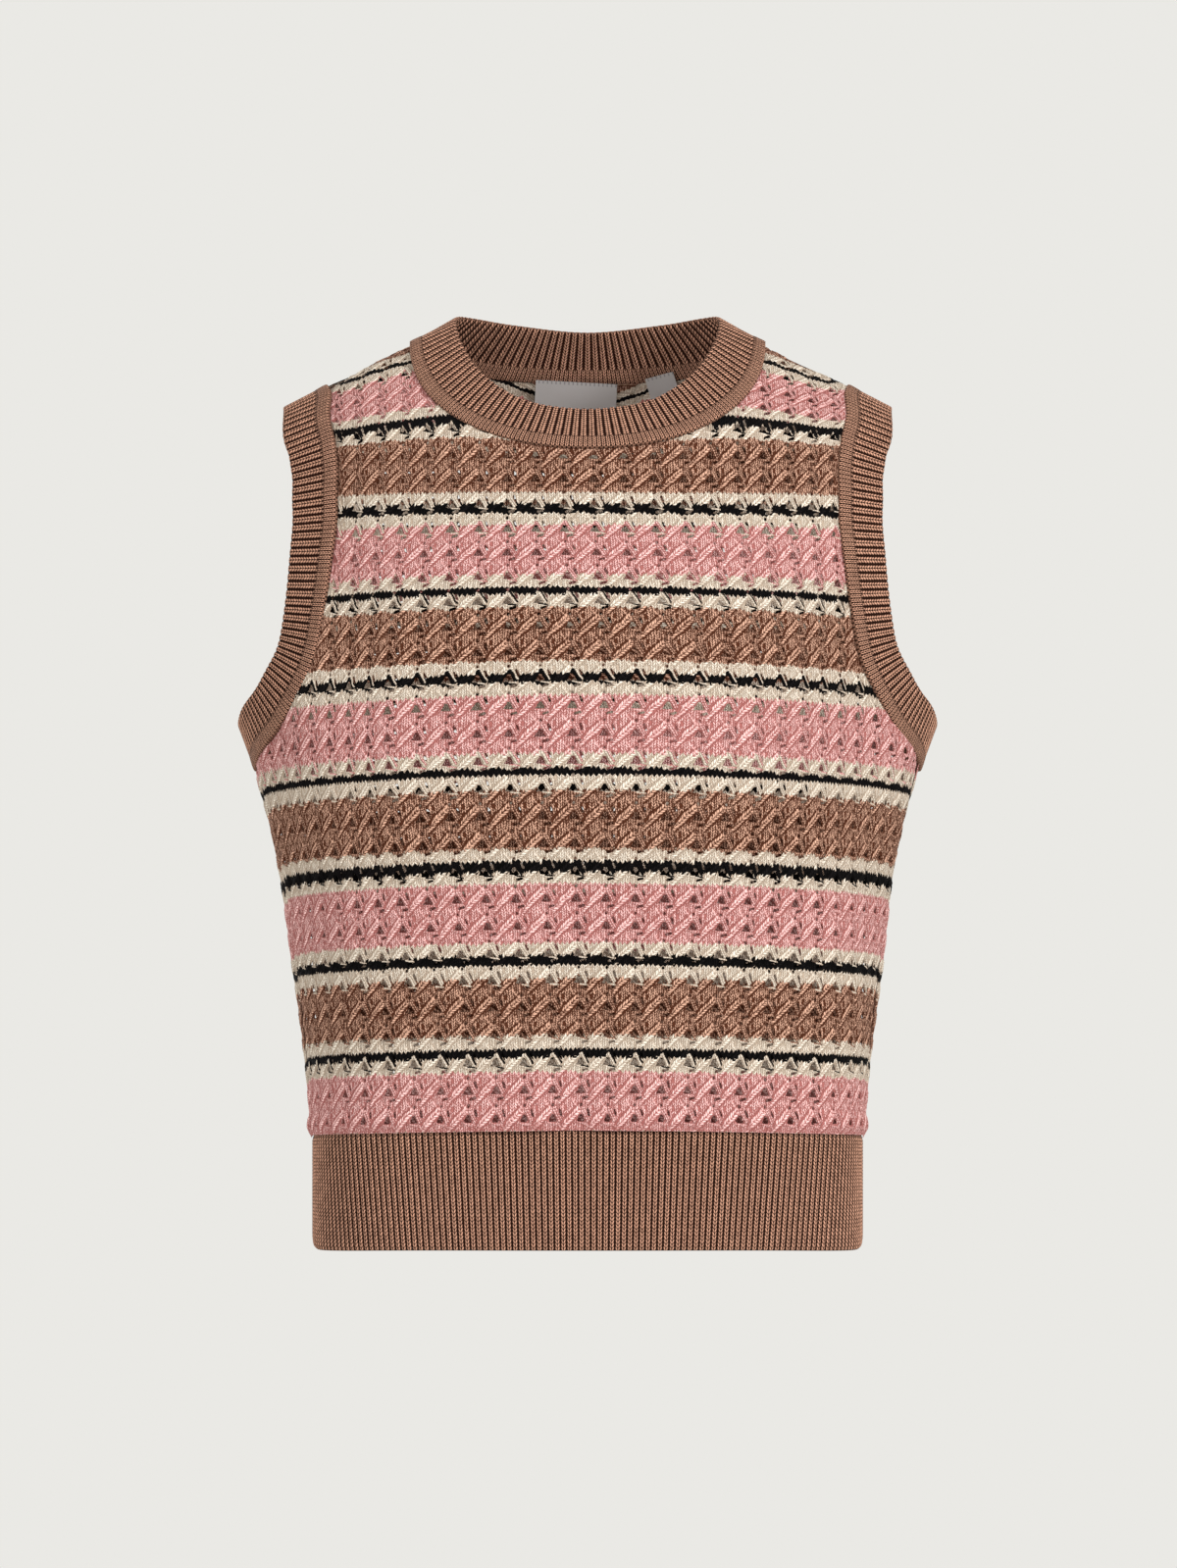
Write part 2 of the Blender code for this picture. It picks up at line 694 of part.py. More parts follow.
def main():
    for item in list(bpy.data.objects):
        bpy.data.objects.remove(item, do_unlink=True)
    collection = bpy.data.collections.new(COLLECTION)
    bpy.context.scene.collection.children.link(collection)

    add_panel("front", "front", collection, make_material("front_knit", (0.62, 0.36, 0.33), 0.9))
    add_panel("back", "back", collection, make_material("back_knit", (0.60, 0.35, 0.32), 0.9))
    add_neck_rib(collection, make_material("neck_knit", (0.36, 0.20, 0.13), 0.9))
    for name, side in (("armhole_rib_right", 1), ("armhole_rib_left", -1)):
        add_armhole_rib(name, side, collection, make_material(name, (0.36, 0.20, 0.13), 0.9))
    for face in ("front", "back"):
        name = f"hem_rib_{face}"
        add_hem_rib(name, face, collection, make_material(name, (0.35, 0.19, 0.12), 0.9))
    for label in LABELS:
        add_label(label, collection, make_material(label.name, (0.42, 0.41, 0.41), 0.45))


main()
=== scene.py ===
import math
from collections import namedtuple
from functools import partial

import bpy
import numpy as np
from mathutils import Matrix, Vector


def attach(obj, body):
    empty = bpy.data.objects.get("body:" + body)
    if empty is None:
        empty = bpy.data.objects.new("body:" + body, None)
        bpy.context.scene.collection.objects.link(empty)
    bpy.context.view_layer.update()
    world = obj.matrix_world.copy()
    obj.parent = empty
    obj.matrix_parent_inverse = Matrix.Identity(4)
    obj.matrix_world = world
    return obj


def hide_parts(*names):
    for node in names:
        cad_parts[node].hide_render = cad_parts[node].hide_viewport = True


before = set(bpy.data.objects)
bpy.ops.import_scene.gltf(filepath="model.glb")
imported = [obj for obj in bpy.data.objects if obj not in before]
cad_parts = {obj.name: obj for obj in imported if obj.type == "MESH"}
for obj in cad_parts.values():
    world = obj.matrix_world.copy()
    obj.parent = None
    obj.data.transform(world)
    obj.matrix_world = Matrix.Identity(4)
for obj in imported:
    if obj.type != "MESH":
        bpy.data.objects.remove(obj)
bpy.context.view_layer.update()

bl_info = {
    "name": "Knit tank top",
    "version": (1, 0, 0),
    "blender": (4, 5, 0),
    "location": "3D View > Sidebar > Knit",
    "description": "Dresses the solids of a lace knit tank top in yarn and sets the stage",
    "category": "Object",
}

METRE = 0.001

# Floor under the top, in metres.
FLOOR_RADIUS = 4.0
FLOOR_LEVEL = -1.3

# ---------------------------------------------------------------------------
# Cut of the top, in mm, the same as in its solids.

Section = namedtuple("Section", "height half_width front back front_round back_round")
TORSO = (
    Section(-436.0, 153.9, 100.0, 92.0, 2.70, 2.70),
    Section(-383.0, 158.0, 102.0, 89.5, 2.60, 2.60),
    Section(-340.0, 162.8, 105.0, 89.0, 2.50, 2.55),
    Section(-297.0, 167.6, 108.5, 91.0, 2.42, 2.50),
    Section(-270.0, 173.0, 111.5, 93.5, 2.38, 2.45),
    Section(-243.0, 180.6, 113.5, 96.0, 2.34, 2.40),
    Section(-210.0, 188.0, 112.5, 98.0, 2.26, 2.32),
    Section(-180.0, 191.0, 109.5, 98.0, 2.16, 2.24),
    Section(-150.0, 192.0, 104.0, 96.0, 2.05, 2.15),
    Section(-100.0, 188.0, 94.5, 88.0, 1.88, 2.00),
    Section(-75.0, 184.0, 90.0, 81.0, 1.80, 1.92),
    Section(-57.0, 179.0, 83.5, 74.0, 1.80, 1.90),
    Section(-40.0, 168.0, 66.0, 66.0, 1.86, 1.94),
    Section(-23.8, 143.6, 48.0, 57.5, 1.95, 2.02),
    Section(-10.0, 116.8, 36.0, 50.0, 2.05, 2.10),
    Section(0.0, 97.2, 28.0, 44.0, 2.10, 2.15),
)
HEM_SECTION = Section(-470.0, 150.6, 96.5, 88.5, 2.80, 2.80)

Rise = namedtuple("Rise", "height front back")
COURSE_RISE = (
    Rise(-494.6, 0.0, 0.0),
    Rise(-436.0, 7.4, 2.0),
    Rise(-400.0, 9.8, 3.0),
    Rise(-340.0, 11.3, 4.0),
    Rise(-290.0, 12.6, 5.0),
    Rise(-240.0, 14.6, 6.0),
    Rise(-190.0, 14.4, 6.0),
    Rise(-140.0, 10.0, 4.0),
    Rise(-95.0, 2.8, 1.5),
    Rise(0.0, 0.0, 0.0),
)

HEM_SEAM = -436.0
HEM_EDGE = -494.6
HEM_CORNER = 7.5
HEM_CORNER_WIDTH = 17.0
HEM_SAG = 3.2
SIDE_SEAM_FORWARD = 22.0
SHOULDER_TIP = -23.8
NECK_HALF_WIDTH = 97.2
FRONT_NECK_DROP = 60.3
BACK_NECK_DROP = 18.6
NECK_ROUND = 2.15
UNDERARM = -235.5
Across = namedtuple("Across", "height front back")
ARMHOLE = (
    Across(-52.0, 139.7, 141.0),
    Across(-89.0, 137.5, 139.5),
    Across(-123.0, 140.4, 142.0),
    Across(-152.0, 144.6, 146.0),
    Across(-176.0, 149.6, 151.5),
    Across(-196.0, 159.0, 161.0),
    Across(-213.0, 169.0, 172.0),
)
Under = namedtuple("Under", "past height")
UNDERARM_CURVE = (
    Under(-37.0, -225.5),
    Under(-18.0, -233.0),
    Under(2.0, UNDERARM),
    Under(22.0, -232.5),
    Under(40.0, -224.5),
)

Band = namedtuple("Band", "link depth ribs")
NECK_BAND = Band(link=7.5, depth=31.5, ribs=116)
ARM_BAND = Band(link=7.0, depth=27.0, ribs=120)
RIB_PITCH = 3.4
STITCH_ROW = 1.8
UNDERARM_FLARE = 6.0
INWARD = 9.0
Opening = namedtuple("Opening", "across depth height")
NECK_OPENING = (
    Opening(0.0, -61.0, -39.2),
    Opening(29.0, -57.0, -35.7),
    Opening(46.0, -49.5, -27.8),
    Opening(59.5, -38.5, -16.5),
    Opening(68.5, -23.5, -3.0),
    Opening(72.5, -7.0, 9.0),
    Opening(71.5, 8.0, 14.4),
    Opening(63.0, 21.5, 14.6),
    Opening(40.0, 34.5, 11.4),
    Opening(0.0, 41.0, 7.8),
)

Label = namedtuple("Label", "name across top wide drop turn")
LABEL_INSIDE = 4.0
LABELS = (
    Label("neck_label", -6.3, -16.4, 46.0, 22.0, -3.0),
    Label("size_tab", 40.5, -12.6, 16.5, 15.0, 15.0),
)

# ---------------------------------------------------------------------------
# Lace. One repeat is CELL_WIDE by CELL_HIGH mm, with its eyelet at 0, 0.

CELL_WIDE = 16.5
CELL_HIGH = 15.4
WALES = 6
COURSES = 10
FIRST_COLUMN = -20
LAST_COLUMN = 20
FIRST_ROW = -1
LAST_ROW = 33
Lace = namedtuple("Lace", "height row")
LACE_ROWS = (
    Lace(-446.0, -1.0),
    Lace(-430.8, 0.0),
    Lace(-330.8, 7.0),
    Lace(-230.2, 14.0),
    Lace(-125.7, 21.0),
    Lace(-78.8, 24.0),
    Lace(-46.5, 26.5),
    Lace(-15.5, 30.0),
    Lace(8.0, 33.0),
)
Column = namedtuple("Column", "number hem chest top")
COLUMNS = (
    Column(-21, -317.0, -309.0, -316.0),
    Column(-17, -258.0, -253.0, -257.0),
    Column(-12, -184.5, -182.8, -184.0),
    Column(-10, -155.3, -156.5, -157.0),
    Column(-8, -125.8, -133.7, -130.6),
    Column(-6, -95.0, -110.8, -102.5),
    Column(-4, -64.7, -77.4, -74.6),
    Column(0, -3.8, -8.4, -13.5),
    Column(4, 53.9, 60.2, 52.2),
    Column(6, 82.2, 92.1, 82.3),
    Column(8, 111.4, 119.0, 111.1),
    Column(10, 141.5, 142.5, 139.0),
    Column(12, 171.0, 166.5, 167.0),
    Column(17, 244.0, 228.0, 238.0),
    Column(21, 303.0, 277.0, 295.0),
)
COLUMN_LEVELS = (-425.0, -219.0, -76.0)
BACK_SHIFT = 0.40
BACK_DIP = 18.0
BACK_CREST = 9.0

# Colour bands: the row of the first black line and the rows between two of them.
FIRST_BLACK = 2.31
BLACK_EVERY = 3.42
BLACK_HALF = 0.027
CREAM_HALF = 0.096

# Forms inside one repeat, in mm from its eyelet: lines with a radius and a height.
# A strand holds the colour of the course this many rows above its eyelet, or its own.
OWN = None
Strand = namedtuple("Strand", "x1 y1 x2 y2 radius lift carried")
STRANDS = (
    Strand(0.9, 4.5, 4.2, -1.5, 0.85, 1.20, 0.12),
    Strand(2.3, 4.9, 5.2, -0.6, 0.62, 1.00, 0.32),
    Strand(-2.4, -1.9, 4.6, -3.7, 0.75, 0.80, -0.12),
    Strand(0.6, -2.2, 5.2, -2.9, 0.62, 0.95, 0.32),
    Strand(5.6, 6.2, 6.6, 1.4, 0.50, 0.55, OWN),
)
UPPER_STRANDS = (
    Strand(-0.5, 5.9, -0.3, 3.0, 0.75, 0.80, OWN),
    Strand(1.0, 6.0, 1.0, 3.4, 0.65, 0.75, OWN),
    Strand(-4.9, 10.2, -1.7, 5.9, 0.75, 0.68, OWN),
    Strand(2.6, 11.2, 1.9, 7.4, 0.70, 0.62, OWN),
    Strand(-0.8, 11.4, -0.9, 8.8, 0.70, 0.60, OWN),
)
# Creases pressed into the relief, with painted shade along them.
CREVICES = (
    Strand(5.2, -3.2, 6.9, -0.2, 0.55, 0.70, OWN),
    Strand(6.9, -0.2, 8.3, 2.6, 0.45, 0.50, OWN),
    Strand(7.5, 6.8, 7.7, 4.6, 0.60, 0.60, OWN),
)
WINDOW = (0.26, 0.42)
UPPER_WINDOW = (0.49, -0.10)
Gap = namedtuple("Gap", "x1 y1 x2 y2 radius")
GAPS = (
    Gap(4.3, 4.6, 5.3, 1.9, 0.62),
    Gap(1.6, -4.7, 4.2, -3.9, 0.70),
    Gap(0.3, 6.9, 0.4, 7.4, 0.72),
)
EYELET = ((-2.8, -1.9), (2.9, -1.9), (1.0, 2.3), (-0.3, 2.3))
CABLE_THROUGH = 10.2
CABLE_HALF = 2.15
CABLE_SPAN = (0.22, 0.98)
CABLE_STRAND = 2.1
CABLE_STITCH = 1.9
BLOCK = (9.3, 6.9, 3.4, 4.6)
ARCH = 1.95
SHEET_DEPTH = 1.6
TEMPLATE_STEP = 0.2

# Yarn: how much its stitches differ, how they slant and stand up, and mm to a turn of its plies.
LACE_LOTS = 0.28
RIB_LOTS = 0.12
STITCH_SLANT = 1.15
PLAIN_HIGH = 0.52
RIB_HIGH = 0.55
PLY_TURN = 1.5

# Share of the painted light that plain stitches and cables get, and grains in a metre of yarn.
PLAIN_LIT = 0.99
CABLE_LIT = 1.04
FIBRE_FINE = 1500.0
SPECKLE_FINE = 480.0
STRAY_FINE = 230.0

# Worn cloth, in mm: folds above the hem, ripples at the sides and swells all over.
Fold = namedtuple("Fold", "out middle width")
FOLDS = {
    "front": (Fold(-2.2, -9.0, 13.0), Fold(1.5, -36.0, 20.0), Fold(1.3, 24.0, 22.0)),
    "back": (Fold(-2.4, 22.0, 15.0), Fold(1.6, -26.0, 22.0)),
}
Ripple = namedtuple("Ripple", "out wide high")
RIPPLES = {"front": Ripple(1.6, 11.0, 70.0), "back": Ripple(1.4, 13.0, -80.0)}
Swell = namedtuple("Swell", "out wide across high up")
SWELLS = {"front": Swell(1.2, 31.0, 0.8, 46.0, 0.4), "back": Swell(1.3, 34.0, 2.1, 52.0, 1.1)}

# Edges of the lace, in mm: how far it laps over its seams, gaps shut near them, and its roll
# over the hem rib.
SEAM_LAP = 1.2
GAP_SHUT = 3.0
ROLL_OUT = 1.7
ROLL_ABOVE = 5.0

# Parts of each panel, up to this row of the lace, with their flat size and area in metres.
Part = namedtuple("Part", "name last flat area")
PARTS = {
    "front": (
        Part("front_lower", 9.1, (0.40, 0.165), 0.060),
        Part("front_middle", 19.4, (0.46, 0.165), 0.067),
        Part("front_upper", math.inf, (0.34, 0.17), 0.046),
    ),
    "back": (
        Part("back_lower", 16.0, (0.50, 0.25), 0.12),
        Part("back_upper", math.inf, (0.40, 0.24), 0.075),
    ),
}

QUARTER = np.linspace(0.0, math.pi / 2, 91)


# ---------------------------------------------------------------------------
# Shape of the torso.


def smooth(table, column, at):
    """Cubic curve through one column of a table, against its height column."""
    knots = np.array([row.height for row in table])
    values = np.array([getattr(row, column) for row in table], float)
    order = np.argsort(knots)
    knots, values = knots[order], values[order]
    slopes = np.gradient(values, knots)
    at = np.clip(at, knots[0], knots[-1])
    low = np.clip(np.searchsorted(knots, at) - 1, 0, len(knots) - 2)
    gap = knots[low + 1] - knots[low]
    t = (at - knots[low]) / gap
    start = (1 + 2 * t) * (1 - t) ** 2 * values[low] + t * (1 - t) ** 2 * gap * slopes[low]
    end = t**2 * (3 - 2 * t) * values[low + 1] + t**2 * (t - 1) * gap * slopes[low + 1]
    return start + end


def sections(heights):
    heights = np.atleast_1d(np.asarray(heights, float))
    columns = [smooth(TORSO, name, heights) for name in Section._fields[1:]]
    return Section(heights, *columns)


def half_rings(section):
    """Right half of each section as points from centre front to centre back."""
    wide = section.half_width[:, None]
    front = 2 / section.front_round[:, None]
    back = 2 / section.back_round[:, None]
    sine = np.sin(QUARTER)
    cosine = np.abs(np.cos(QUARTER))
    x = np.hstack([wide * sine**front, wide * cosine[1:] ** back])
    y = np.hstack([
        -section.front[:, None] * cosine**front,
        section.back[:, None] * sine[1:] ** back,
    ])
    steps = np.hypot(np.diff(x, axis=1), np.diff(y, axis=1))
    way = np.hstack([np.zeros((len(x), 1)), np.cumsum(steps, axis=1)])
    return x, y, way


def unit(vectors):
    return vectors / np.maximum(np.linalg.norm(vectors, axis=-1, keepdims=True), 1e-9)


def between(table, rows, columns):
    """Values of a table between its rows and columns."""
    rows = np.clip(rows, 0, table.shape[0] - 1.001)
    columns = np.clip(columns, 0, table.shape[1] - 1.001)
    i, j = rows.astype(int), columns.astype(int)
    a, b = rows - i, columns - j
    if table.ndim == 3:
        a, b = a[:, None], b[:, None]
    low = table[i, j] * (1 - b) + table[i, j + 1] * b
    high = table[i + 1, j] * (1 - b) + table[i + 1, j + 1] * b
    return low * (1 - a) + high * a


class Surface:
    """Outer face of stacked sections, looked up by way round and height."""

    def __init__(self, shape, levels, step=2.0):
        self.step = step
        self.levels = levels
        x, y, way = half_rings(shape)
        self.girth = way[:, -1]
        self.side = way[:, len(QUARTER) - 1]
        self.low = -10 * step
        ways = np.arange(self.low, self.girth.max() + 10 * step, step)
        points = np.empty((len(levels), len(ways), 3))
        for i, level in enumerate(levels):
            reach = np.abs(ways)
            past = reach > self.girth[i]
            reach = np.where(past, 2 * self.girth[i] - reach, reach)
            turned = np.where((ways < 0) ^ past, -1.0, 1.0)
            points[i, :, 0] = np.interp(reach, way[i], x[i]) * turned
            points[i, :, 1] = np.interp(reach, way[i], y[i])
            points[i, :, 2] = level
        along = np.gradient(points, axis=1)
        up = np.gradient(points, axis=0)
        self.points = points
        self.out = unit(np.cross(along, up))

    def __call__(self, way, height):
        """Points and outward directions."""
        rows = (height - self.levels[0]) / (self.levels[1] - self.levels[0])
        columns = (np.abs(way) - self.low) / self.step
        points, out = between(self.points, rows, columns), between(self.out, rows, columns)
        for made in (points, out):
            made[:, 0] *= np.where(way < 0, -1.0, 1.0)
        return points, unit(out)

    def side_way(self, height):
        return np.interp(height, self.levels, self.side)

    def half_girth(self, height):
        return np.interp(height, self.levels, self.girth)


def torso_surface():
    levels = np.arange(-450.0, 0.1, 2.0)
    return Surface(sections(levels), levels)


def hem_surface():
    levels = np.array([-500.0, -430.0])
    shape = Section(levels, *(np.full(2, value) for value in HEM_SECTION[1:]))
    return Surface(shape, levels)


def from_back(torso, way, height):
    """Way from the centre back, seen from behind, as way from the centre front."""
    return (torso.half_girth(height) - np.abs(way)) * np.where(way > 0, -1.0, 1.0)


def way_at(across, heights, on_the_back=False):
    """Way from the centre front at which the section is this far across."""
    x, _, ways = half_rings(sections(heights))
    middle = len(QUARTER) - 1
    found = []
    for reach, row, way in zip(np.atleast_1d(across), x, ways):
        if on_the_back:
            found.append(np.interp(reach, row[middle:][::-1], way[middle:][::-1]))
        else:
            found.append(np.interp(reach, row[: middle + 1], way[: middle + 1]))
    return np.array(found)


def risen(torso, way, level, face):
    """Height of a course on the front or back, given its height at the side."""
    rise = smooth(COURSE_RISE, face, level)
    across = np.abs(way) / torso.side_way(level)
    height = level + rise * np.clip(1 - across**2, 0, 1)
    if face == "back":
        dip = BACK_DIP * np.exp(-((way / 38) ** 2))
        dip -= BACK_CREST * np.exp(-(((np.abs(way) - 75) / 30) ** 2))
        return height - dip * np.clip(1 + level / 75, 0, 1)
    slope = 0.28 * np.clip((level + 66) / 46, 0, 1)
    reach = np.clip(128 - np.abs(way), -8, 48) * np.clip(np.abs(way) / 70, 0.3, 1)
    return height + slope * reach


def catmull_rom(points, per_span):
    """Closed smooth curve through the points."""
    points = np.asarray(points, float)
    t = np.linspace(0, 1, per_span, endpoint=False)[:, None]
    spans = []
    for i in range(len(points)):
        a, b, c, d = (points[(i + k) % len(points)] for k in (-1, 0, 1, 2))
        spans.append(0.5 * (2 * b + (c - a) * t + (2 * a - 5 * b + 4 * c - d) * t**2
                            + (3 * b - a - 3 * c + d) * t**3))
    return np.vstack(spans)


def even(points, count, closed=False):
    """The same curve as this many evenly spaced points."""
    if closed:
        points = np.vstack([points, points[:1]])
    way = np.concatenate([[0], np.cumsum(np.linalg.norm(np.diff(points, axis=0), axis=1))])
    at = np.linspace(0, way[-1], count + closed)[: count]
    return np.stack([np.interp(at, way, column) for column in points.T], axis=1)


def armhole_places(torso):
    """Armhole seam as (way past the side line, height), from the shoulder down the front."""
    heights = np.array([row.height for row in ARMHOLE])
    middle = torso.side_way(heights)
    front = way_at([row.front for row in ARMHOLE], heights) - middle
    back = way_at([row.back for row in ARMHOLE], heights, on_the_back=True) - middle
    corners = [(0.0, SHOULDER_TIP)]
    corners += list(zip(front, heights))
    corners += [tuple(under) for under in UNDERARM_CURVE]
    corners += list(zip(back[::-1], heights[::-1]))
    return catmull_rom(corners, 12)


def armhole_way(torso, face):
    """The armhole's part on one panel, from underarm to shoulder, as (way, height)."""
    places = armhole_places(torso)
    low = places[:, 1] < UNDERARM + 30
    after = int(np.argmax(low & (places[:, 0] > -SIDE_SEAM_FORWARD)))
    last, following = places[after - 1], places[after]
    share = (-SIDE_SEAM_FORWARD - last[0]) / (following[0] - last[0])
    split = last + share * (following - last)
    if face == "front":
        part = np.vstack([places[:after], split])[::-1]
    else:
        part = np.vstack([split, places[after:], places[:1]])
    way = torso.side_way(part[:, 1]) + part[:, 0]
    if face == "back":
        way = torso.half_girth(part[:, 1]) - way
    return np.stack([way, part[:, 1]], axis=1)


def neckline(face, count):
    """Neck seam from the shoulder to the centre, as (across, height)."""
    drop = FRONT_NECK_DROP if face == "front" else BACK_NECK_DROP
    turn = np.linspace(math.pi / 2, 0, count)
    across = NECK_HALF_WIDTH * np.sin(turn) ** (2 / NECK_ROUND)
    height = -drop * np.abs(np.cos(turn)) ** (2 / NECK_ROUND)
    return np.stack([across, height], axis=1)


def outline(torso, face):
    """Closed edge of a panel, as (way, height)."""
    seam = SIDE_SEAM_FORWARD if face == "front" else -SIDE_SEAM_FORWARD

    def edge(height):
        whole = torso.side_way(height)
        if face == "back":
            whole = torso.half_girth(height) - whole
        return whole - seam

    hem_way = np.linspace(0, edge(HEM_SEAM), 17)
    hem = np.stack([hem_way, risen(torso, hem_way, HEM_SEAM, face)], axis=1)
    arm = even(armhole_way(torso, face), 42)
    heights = np.linspace(HEM_SEAM, arm[0, 1], 10)[1:-1]
    side = np.stack([edge(heights), heights], axis=1)
    shoulder_heights = np.linspace(SHOULDER_TIP, 0, 9)
    reach = torso.side_way(shoulder_heights)
    if face == "back":
        reach = torso.half_girth(shoulder_heights) - reach
    shoulder = np.stack([reach, shoulder_heights], axis=1)
    seam_line = neckline(face, 41)
    way = way_at(seam_line[:, 0], seam_line[:, 1], face == "back")
    if face == "back":
        way = torso.half_girth(seam_line[:, 1]) - way
    neck = even(np.stack([way, seam_line[:, 1]], axis=1), 31)
    half = np.vstack([hem, side, arm[:-1], shoulder[:-1], neck])
    return np.vstack([half, half[1:-1][::-1] * (-1, 1)])


class Field:
    """Distance to a closed outline on a coarse grid, above zero inside."""

    def __init__(self, edge, step=2.0, margin=14.0):
        self.step = step
        self.low = edge.min(axis=0) - margin
        size = np.ceil((edge.max(axis=0) + margin - self.low) / step).astype(int) + 1
        xs = self.low[0] + step * np.arange(size[0])
        ys = self.low[1] + step * np.arange(size[1])
        far = np.full((size[1], size[0]), np.inf)
        inside = np.zeros((size[1], size[0]), bool)
        for a, b in zip(edge, np.roll(edge, -1, axis=0)):
            side = b - a
            t = ((xs[None] - a[0]) * side[0] + (ys[:, None] - a[1]) * side[1]) / (side @ side)
            t = np.clip(t, 0, 1)
            far = np.minimum(far, np.hypot(xs[None] - a[0] - t * side[0],
                                           ys[:, None] - a[1] - t * side[1]))
            crosses = (a[1] > ys) != (b[1] > ys)
            if crosses.any():
                at = a[0] + (ys - a[1]) * side[0] / (side[1] if side[1] else 1.0)
                inside ^= crosses[:, None] & (xs[None] < at[:, None])
        self.values = np.where(inside, far, -far)

    def __call__(self, x, y):
        return between(self.values, (y - self.low[1]) / self.step, (x - self.low[0]) / self.step)


# ---------------------------------------------------------------------------
# One repeat of the lace.


def to_line(x, y, line):
    """Distance to a line piece."""
    dx, dy = line.x2 - line.x1, line.y2 - line.y1
    t = np.clip(((x - line.x1) * dx + (y - line.y1) * dy) / (dx * dx + dy * dy), 0, 1)
    return np.hypot(x - line.x1 - t * dx, y - line.y1 - t * dy)


def to_outline(x, y, corners):
    """Signed distance to a convex outline, below zero inside."""
    far = np.full(np.shape(x), np.inf)
    inside = np.full(np.shape(x), True)
    for (x1, y1), (x2, y2) in zip(corners, corners[1:] + corners[:1]):
        far = np.minimum(far, to_line(x, y, Gap(x1, y1, x2, y2, 0.0)))
        inside &= (x2 - x1) * (y - y1) - (y2 - y1) * (x - x1) > 0
    return np.where(inside, -far, far)


def hump(x, y, line):
    """Soft ridge along a line piece."""
    return line.lift * np.exp(-((to_line(x, y, line) / line.radius) ** 2))


class Repeat:
    """Height, gaps and painted shade over one repeat, as lookup tables in mm."""

    def __init__(self, slits):
        self.cols = round(CELL_WIDE / TEMPLATE_STEP)
        self.rows = round(CELL_HIGH / TEMPLATE_STEP)
        x0 = np.arange(self.cols) * CELL_WIDE / self.cols
        y0 = np.arange(self.rows) * CELL_HIGH / self.rows
        x0, y0 = np.meshgrid(x0, y0)
        slope = CELL_HIGH / CELL_WIDE
        gap = CELL_HIGH / math.hypot(1, slope)
        across = (y0 - slope * (x0 - CABLE_THROUGH)) / math.hypot(1, slope)
        across = (across + gap / 2) % gap - gap / 2
        share = x0 / CELL_WIDE
        span = np.clip(np.minimum(share - CABLE_SPAN[0], CABLE_SPAN[1] - share) / 0.08, 0, 1)
        height = 0.75 * span * np.exp(-((np.abs(across) / CABLE_HALF) ** 4))
        gaps = np.full(x0.shape, np.inf)
        crease = np.zeros(x0.shape)
        for sx, sy in [(i * CELL_WIDE, j * CELL_HIGH) for i in (-1, 0, 1) for j in (-1, 0, 1)]:
            x, y = x0 - sx, y0 - sy
            bx, by, bw, bh = BLOCK
            block = np.hypot((x - bx) / bw, (y - by) / bh)
            height = np.maximum(height, 0.55 / (1 + block**6))
            gaps = np.minimum(gaps, to_outline(x, y, EYELET))
            for line in slits:
                gaps = np.minimum(gaps, to_line(x, y, line) - line.radius)
            for line in STRANDS + UPPER_STRANDS:
                height = np.maximum(height, hump(x, y, line))
            for line in CREVICES:
                crease = np.maximum(crease, hump(x, y, line))
        self.height = self.blurred(height, 0.35) - 0.35 * crease
        self.gaps = gaps
        # Painted shade: darker in low places, at the rims of the gaps and along the creases.
        low = np.clip((self.blurred(self.height, 1.3) - self.height) / 0.5, 0, 1)
        rim = np.exp(-((np.clip(gaps, 0, 9) / 0.45) ** 2))
        self.shade = np.clip(0.9 * low + 0.5 * rim + 0.35 * crease, 0, 1)

    def blurred(self, table, radius):
        """The table blurred over this radius, joined at its edges."""
        fy = np.fft.fftfreq(self.rows, CELL_HIGH / self.rows)[:, None]
        fx = np.fft.fftfreq(self.cols, CELL_WIDE / self.cols)[None]
        kernel = np.exp(-2 * (math.pi * radius) ** 2 * (fx**2 + fy**2))
        return np.fft.ifft2(np.fft.fft2(table) * kernel).real

    def look(self, name, x, y):
        table = getattr(self, name)
        cols = (x / CELL_WIDE % 1) * self.cols
        rows = (y / CELL_HIGH % 1) * self.rows
        i, j = rows.astype(int) % self.rows, cols.astype(int) % self.cols
        a, b = rows - np.floor(rows), cols - np.floor(cols)
        i2, j2 = (i + 1) % self.rows, (j + 1) % self.cols
        return ((table[i, j] * (1 - b) + table[i, j2] * b) * (1 - a)
                + (table[i2, j] * (1 - b) + table[i2, j2] * b) * a)

    def gap_slope(self, x, y, step=0.15):
        dx = (self.look("gaps", x + step, y) - self.look("gaps", x - step, y)) / (2 * step)
        dy = (self.look("gaps", x, y + step) - self.look("gaps", x, y - step)) / (2 * step)
        return dx, dy


def lace_level(rows):
    numbers = [lace.row for lace in LACE_ROWS]
    heights = [lace.height for lace in LACE_ROWS]
    fine = np.linspace(numbers[0], numbers[-1], 400)
    curve = np.interp(fine, numbers, heights)
    kernel = np.ones(15) / 15
    padded = np.pad(curve, 7, mode="reflect", reflect_type="odd")
    return np.interp(rows, fine, np.convolve(padded, kernel, mode="valid"))


def front_way(columns, level):
    """Way of a lace column at a height of the front."""
    numbers = [column.number for column in COLUMNS]
    at = [np.interp(columns, numbers, [getattr(c, name) for c in COLUMNS])
          for name in ("hem", "chest", "top")]
    low, middle, high = COLUMN_LEVELS
    first = np.clip((level - low) / (middle - low), 0, 1)
    second = np.clip((level - middle) / (high - middle), 0, 1)
    first, second = (t * t * (3 - 2 * t) for t in (first, second))
    return at[0] * (1 - first) + at[1] * (first - second) + at[2] * second


def back_way(columns, level):
    """Way of a lace column at a height of the back: its columns lie between the front's."""
    return -1.045 * front_way(-(columns + BACK_SHIFT), level)


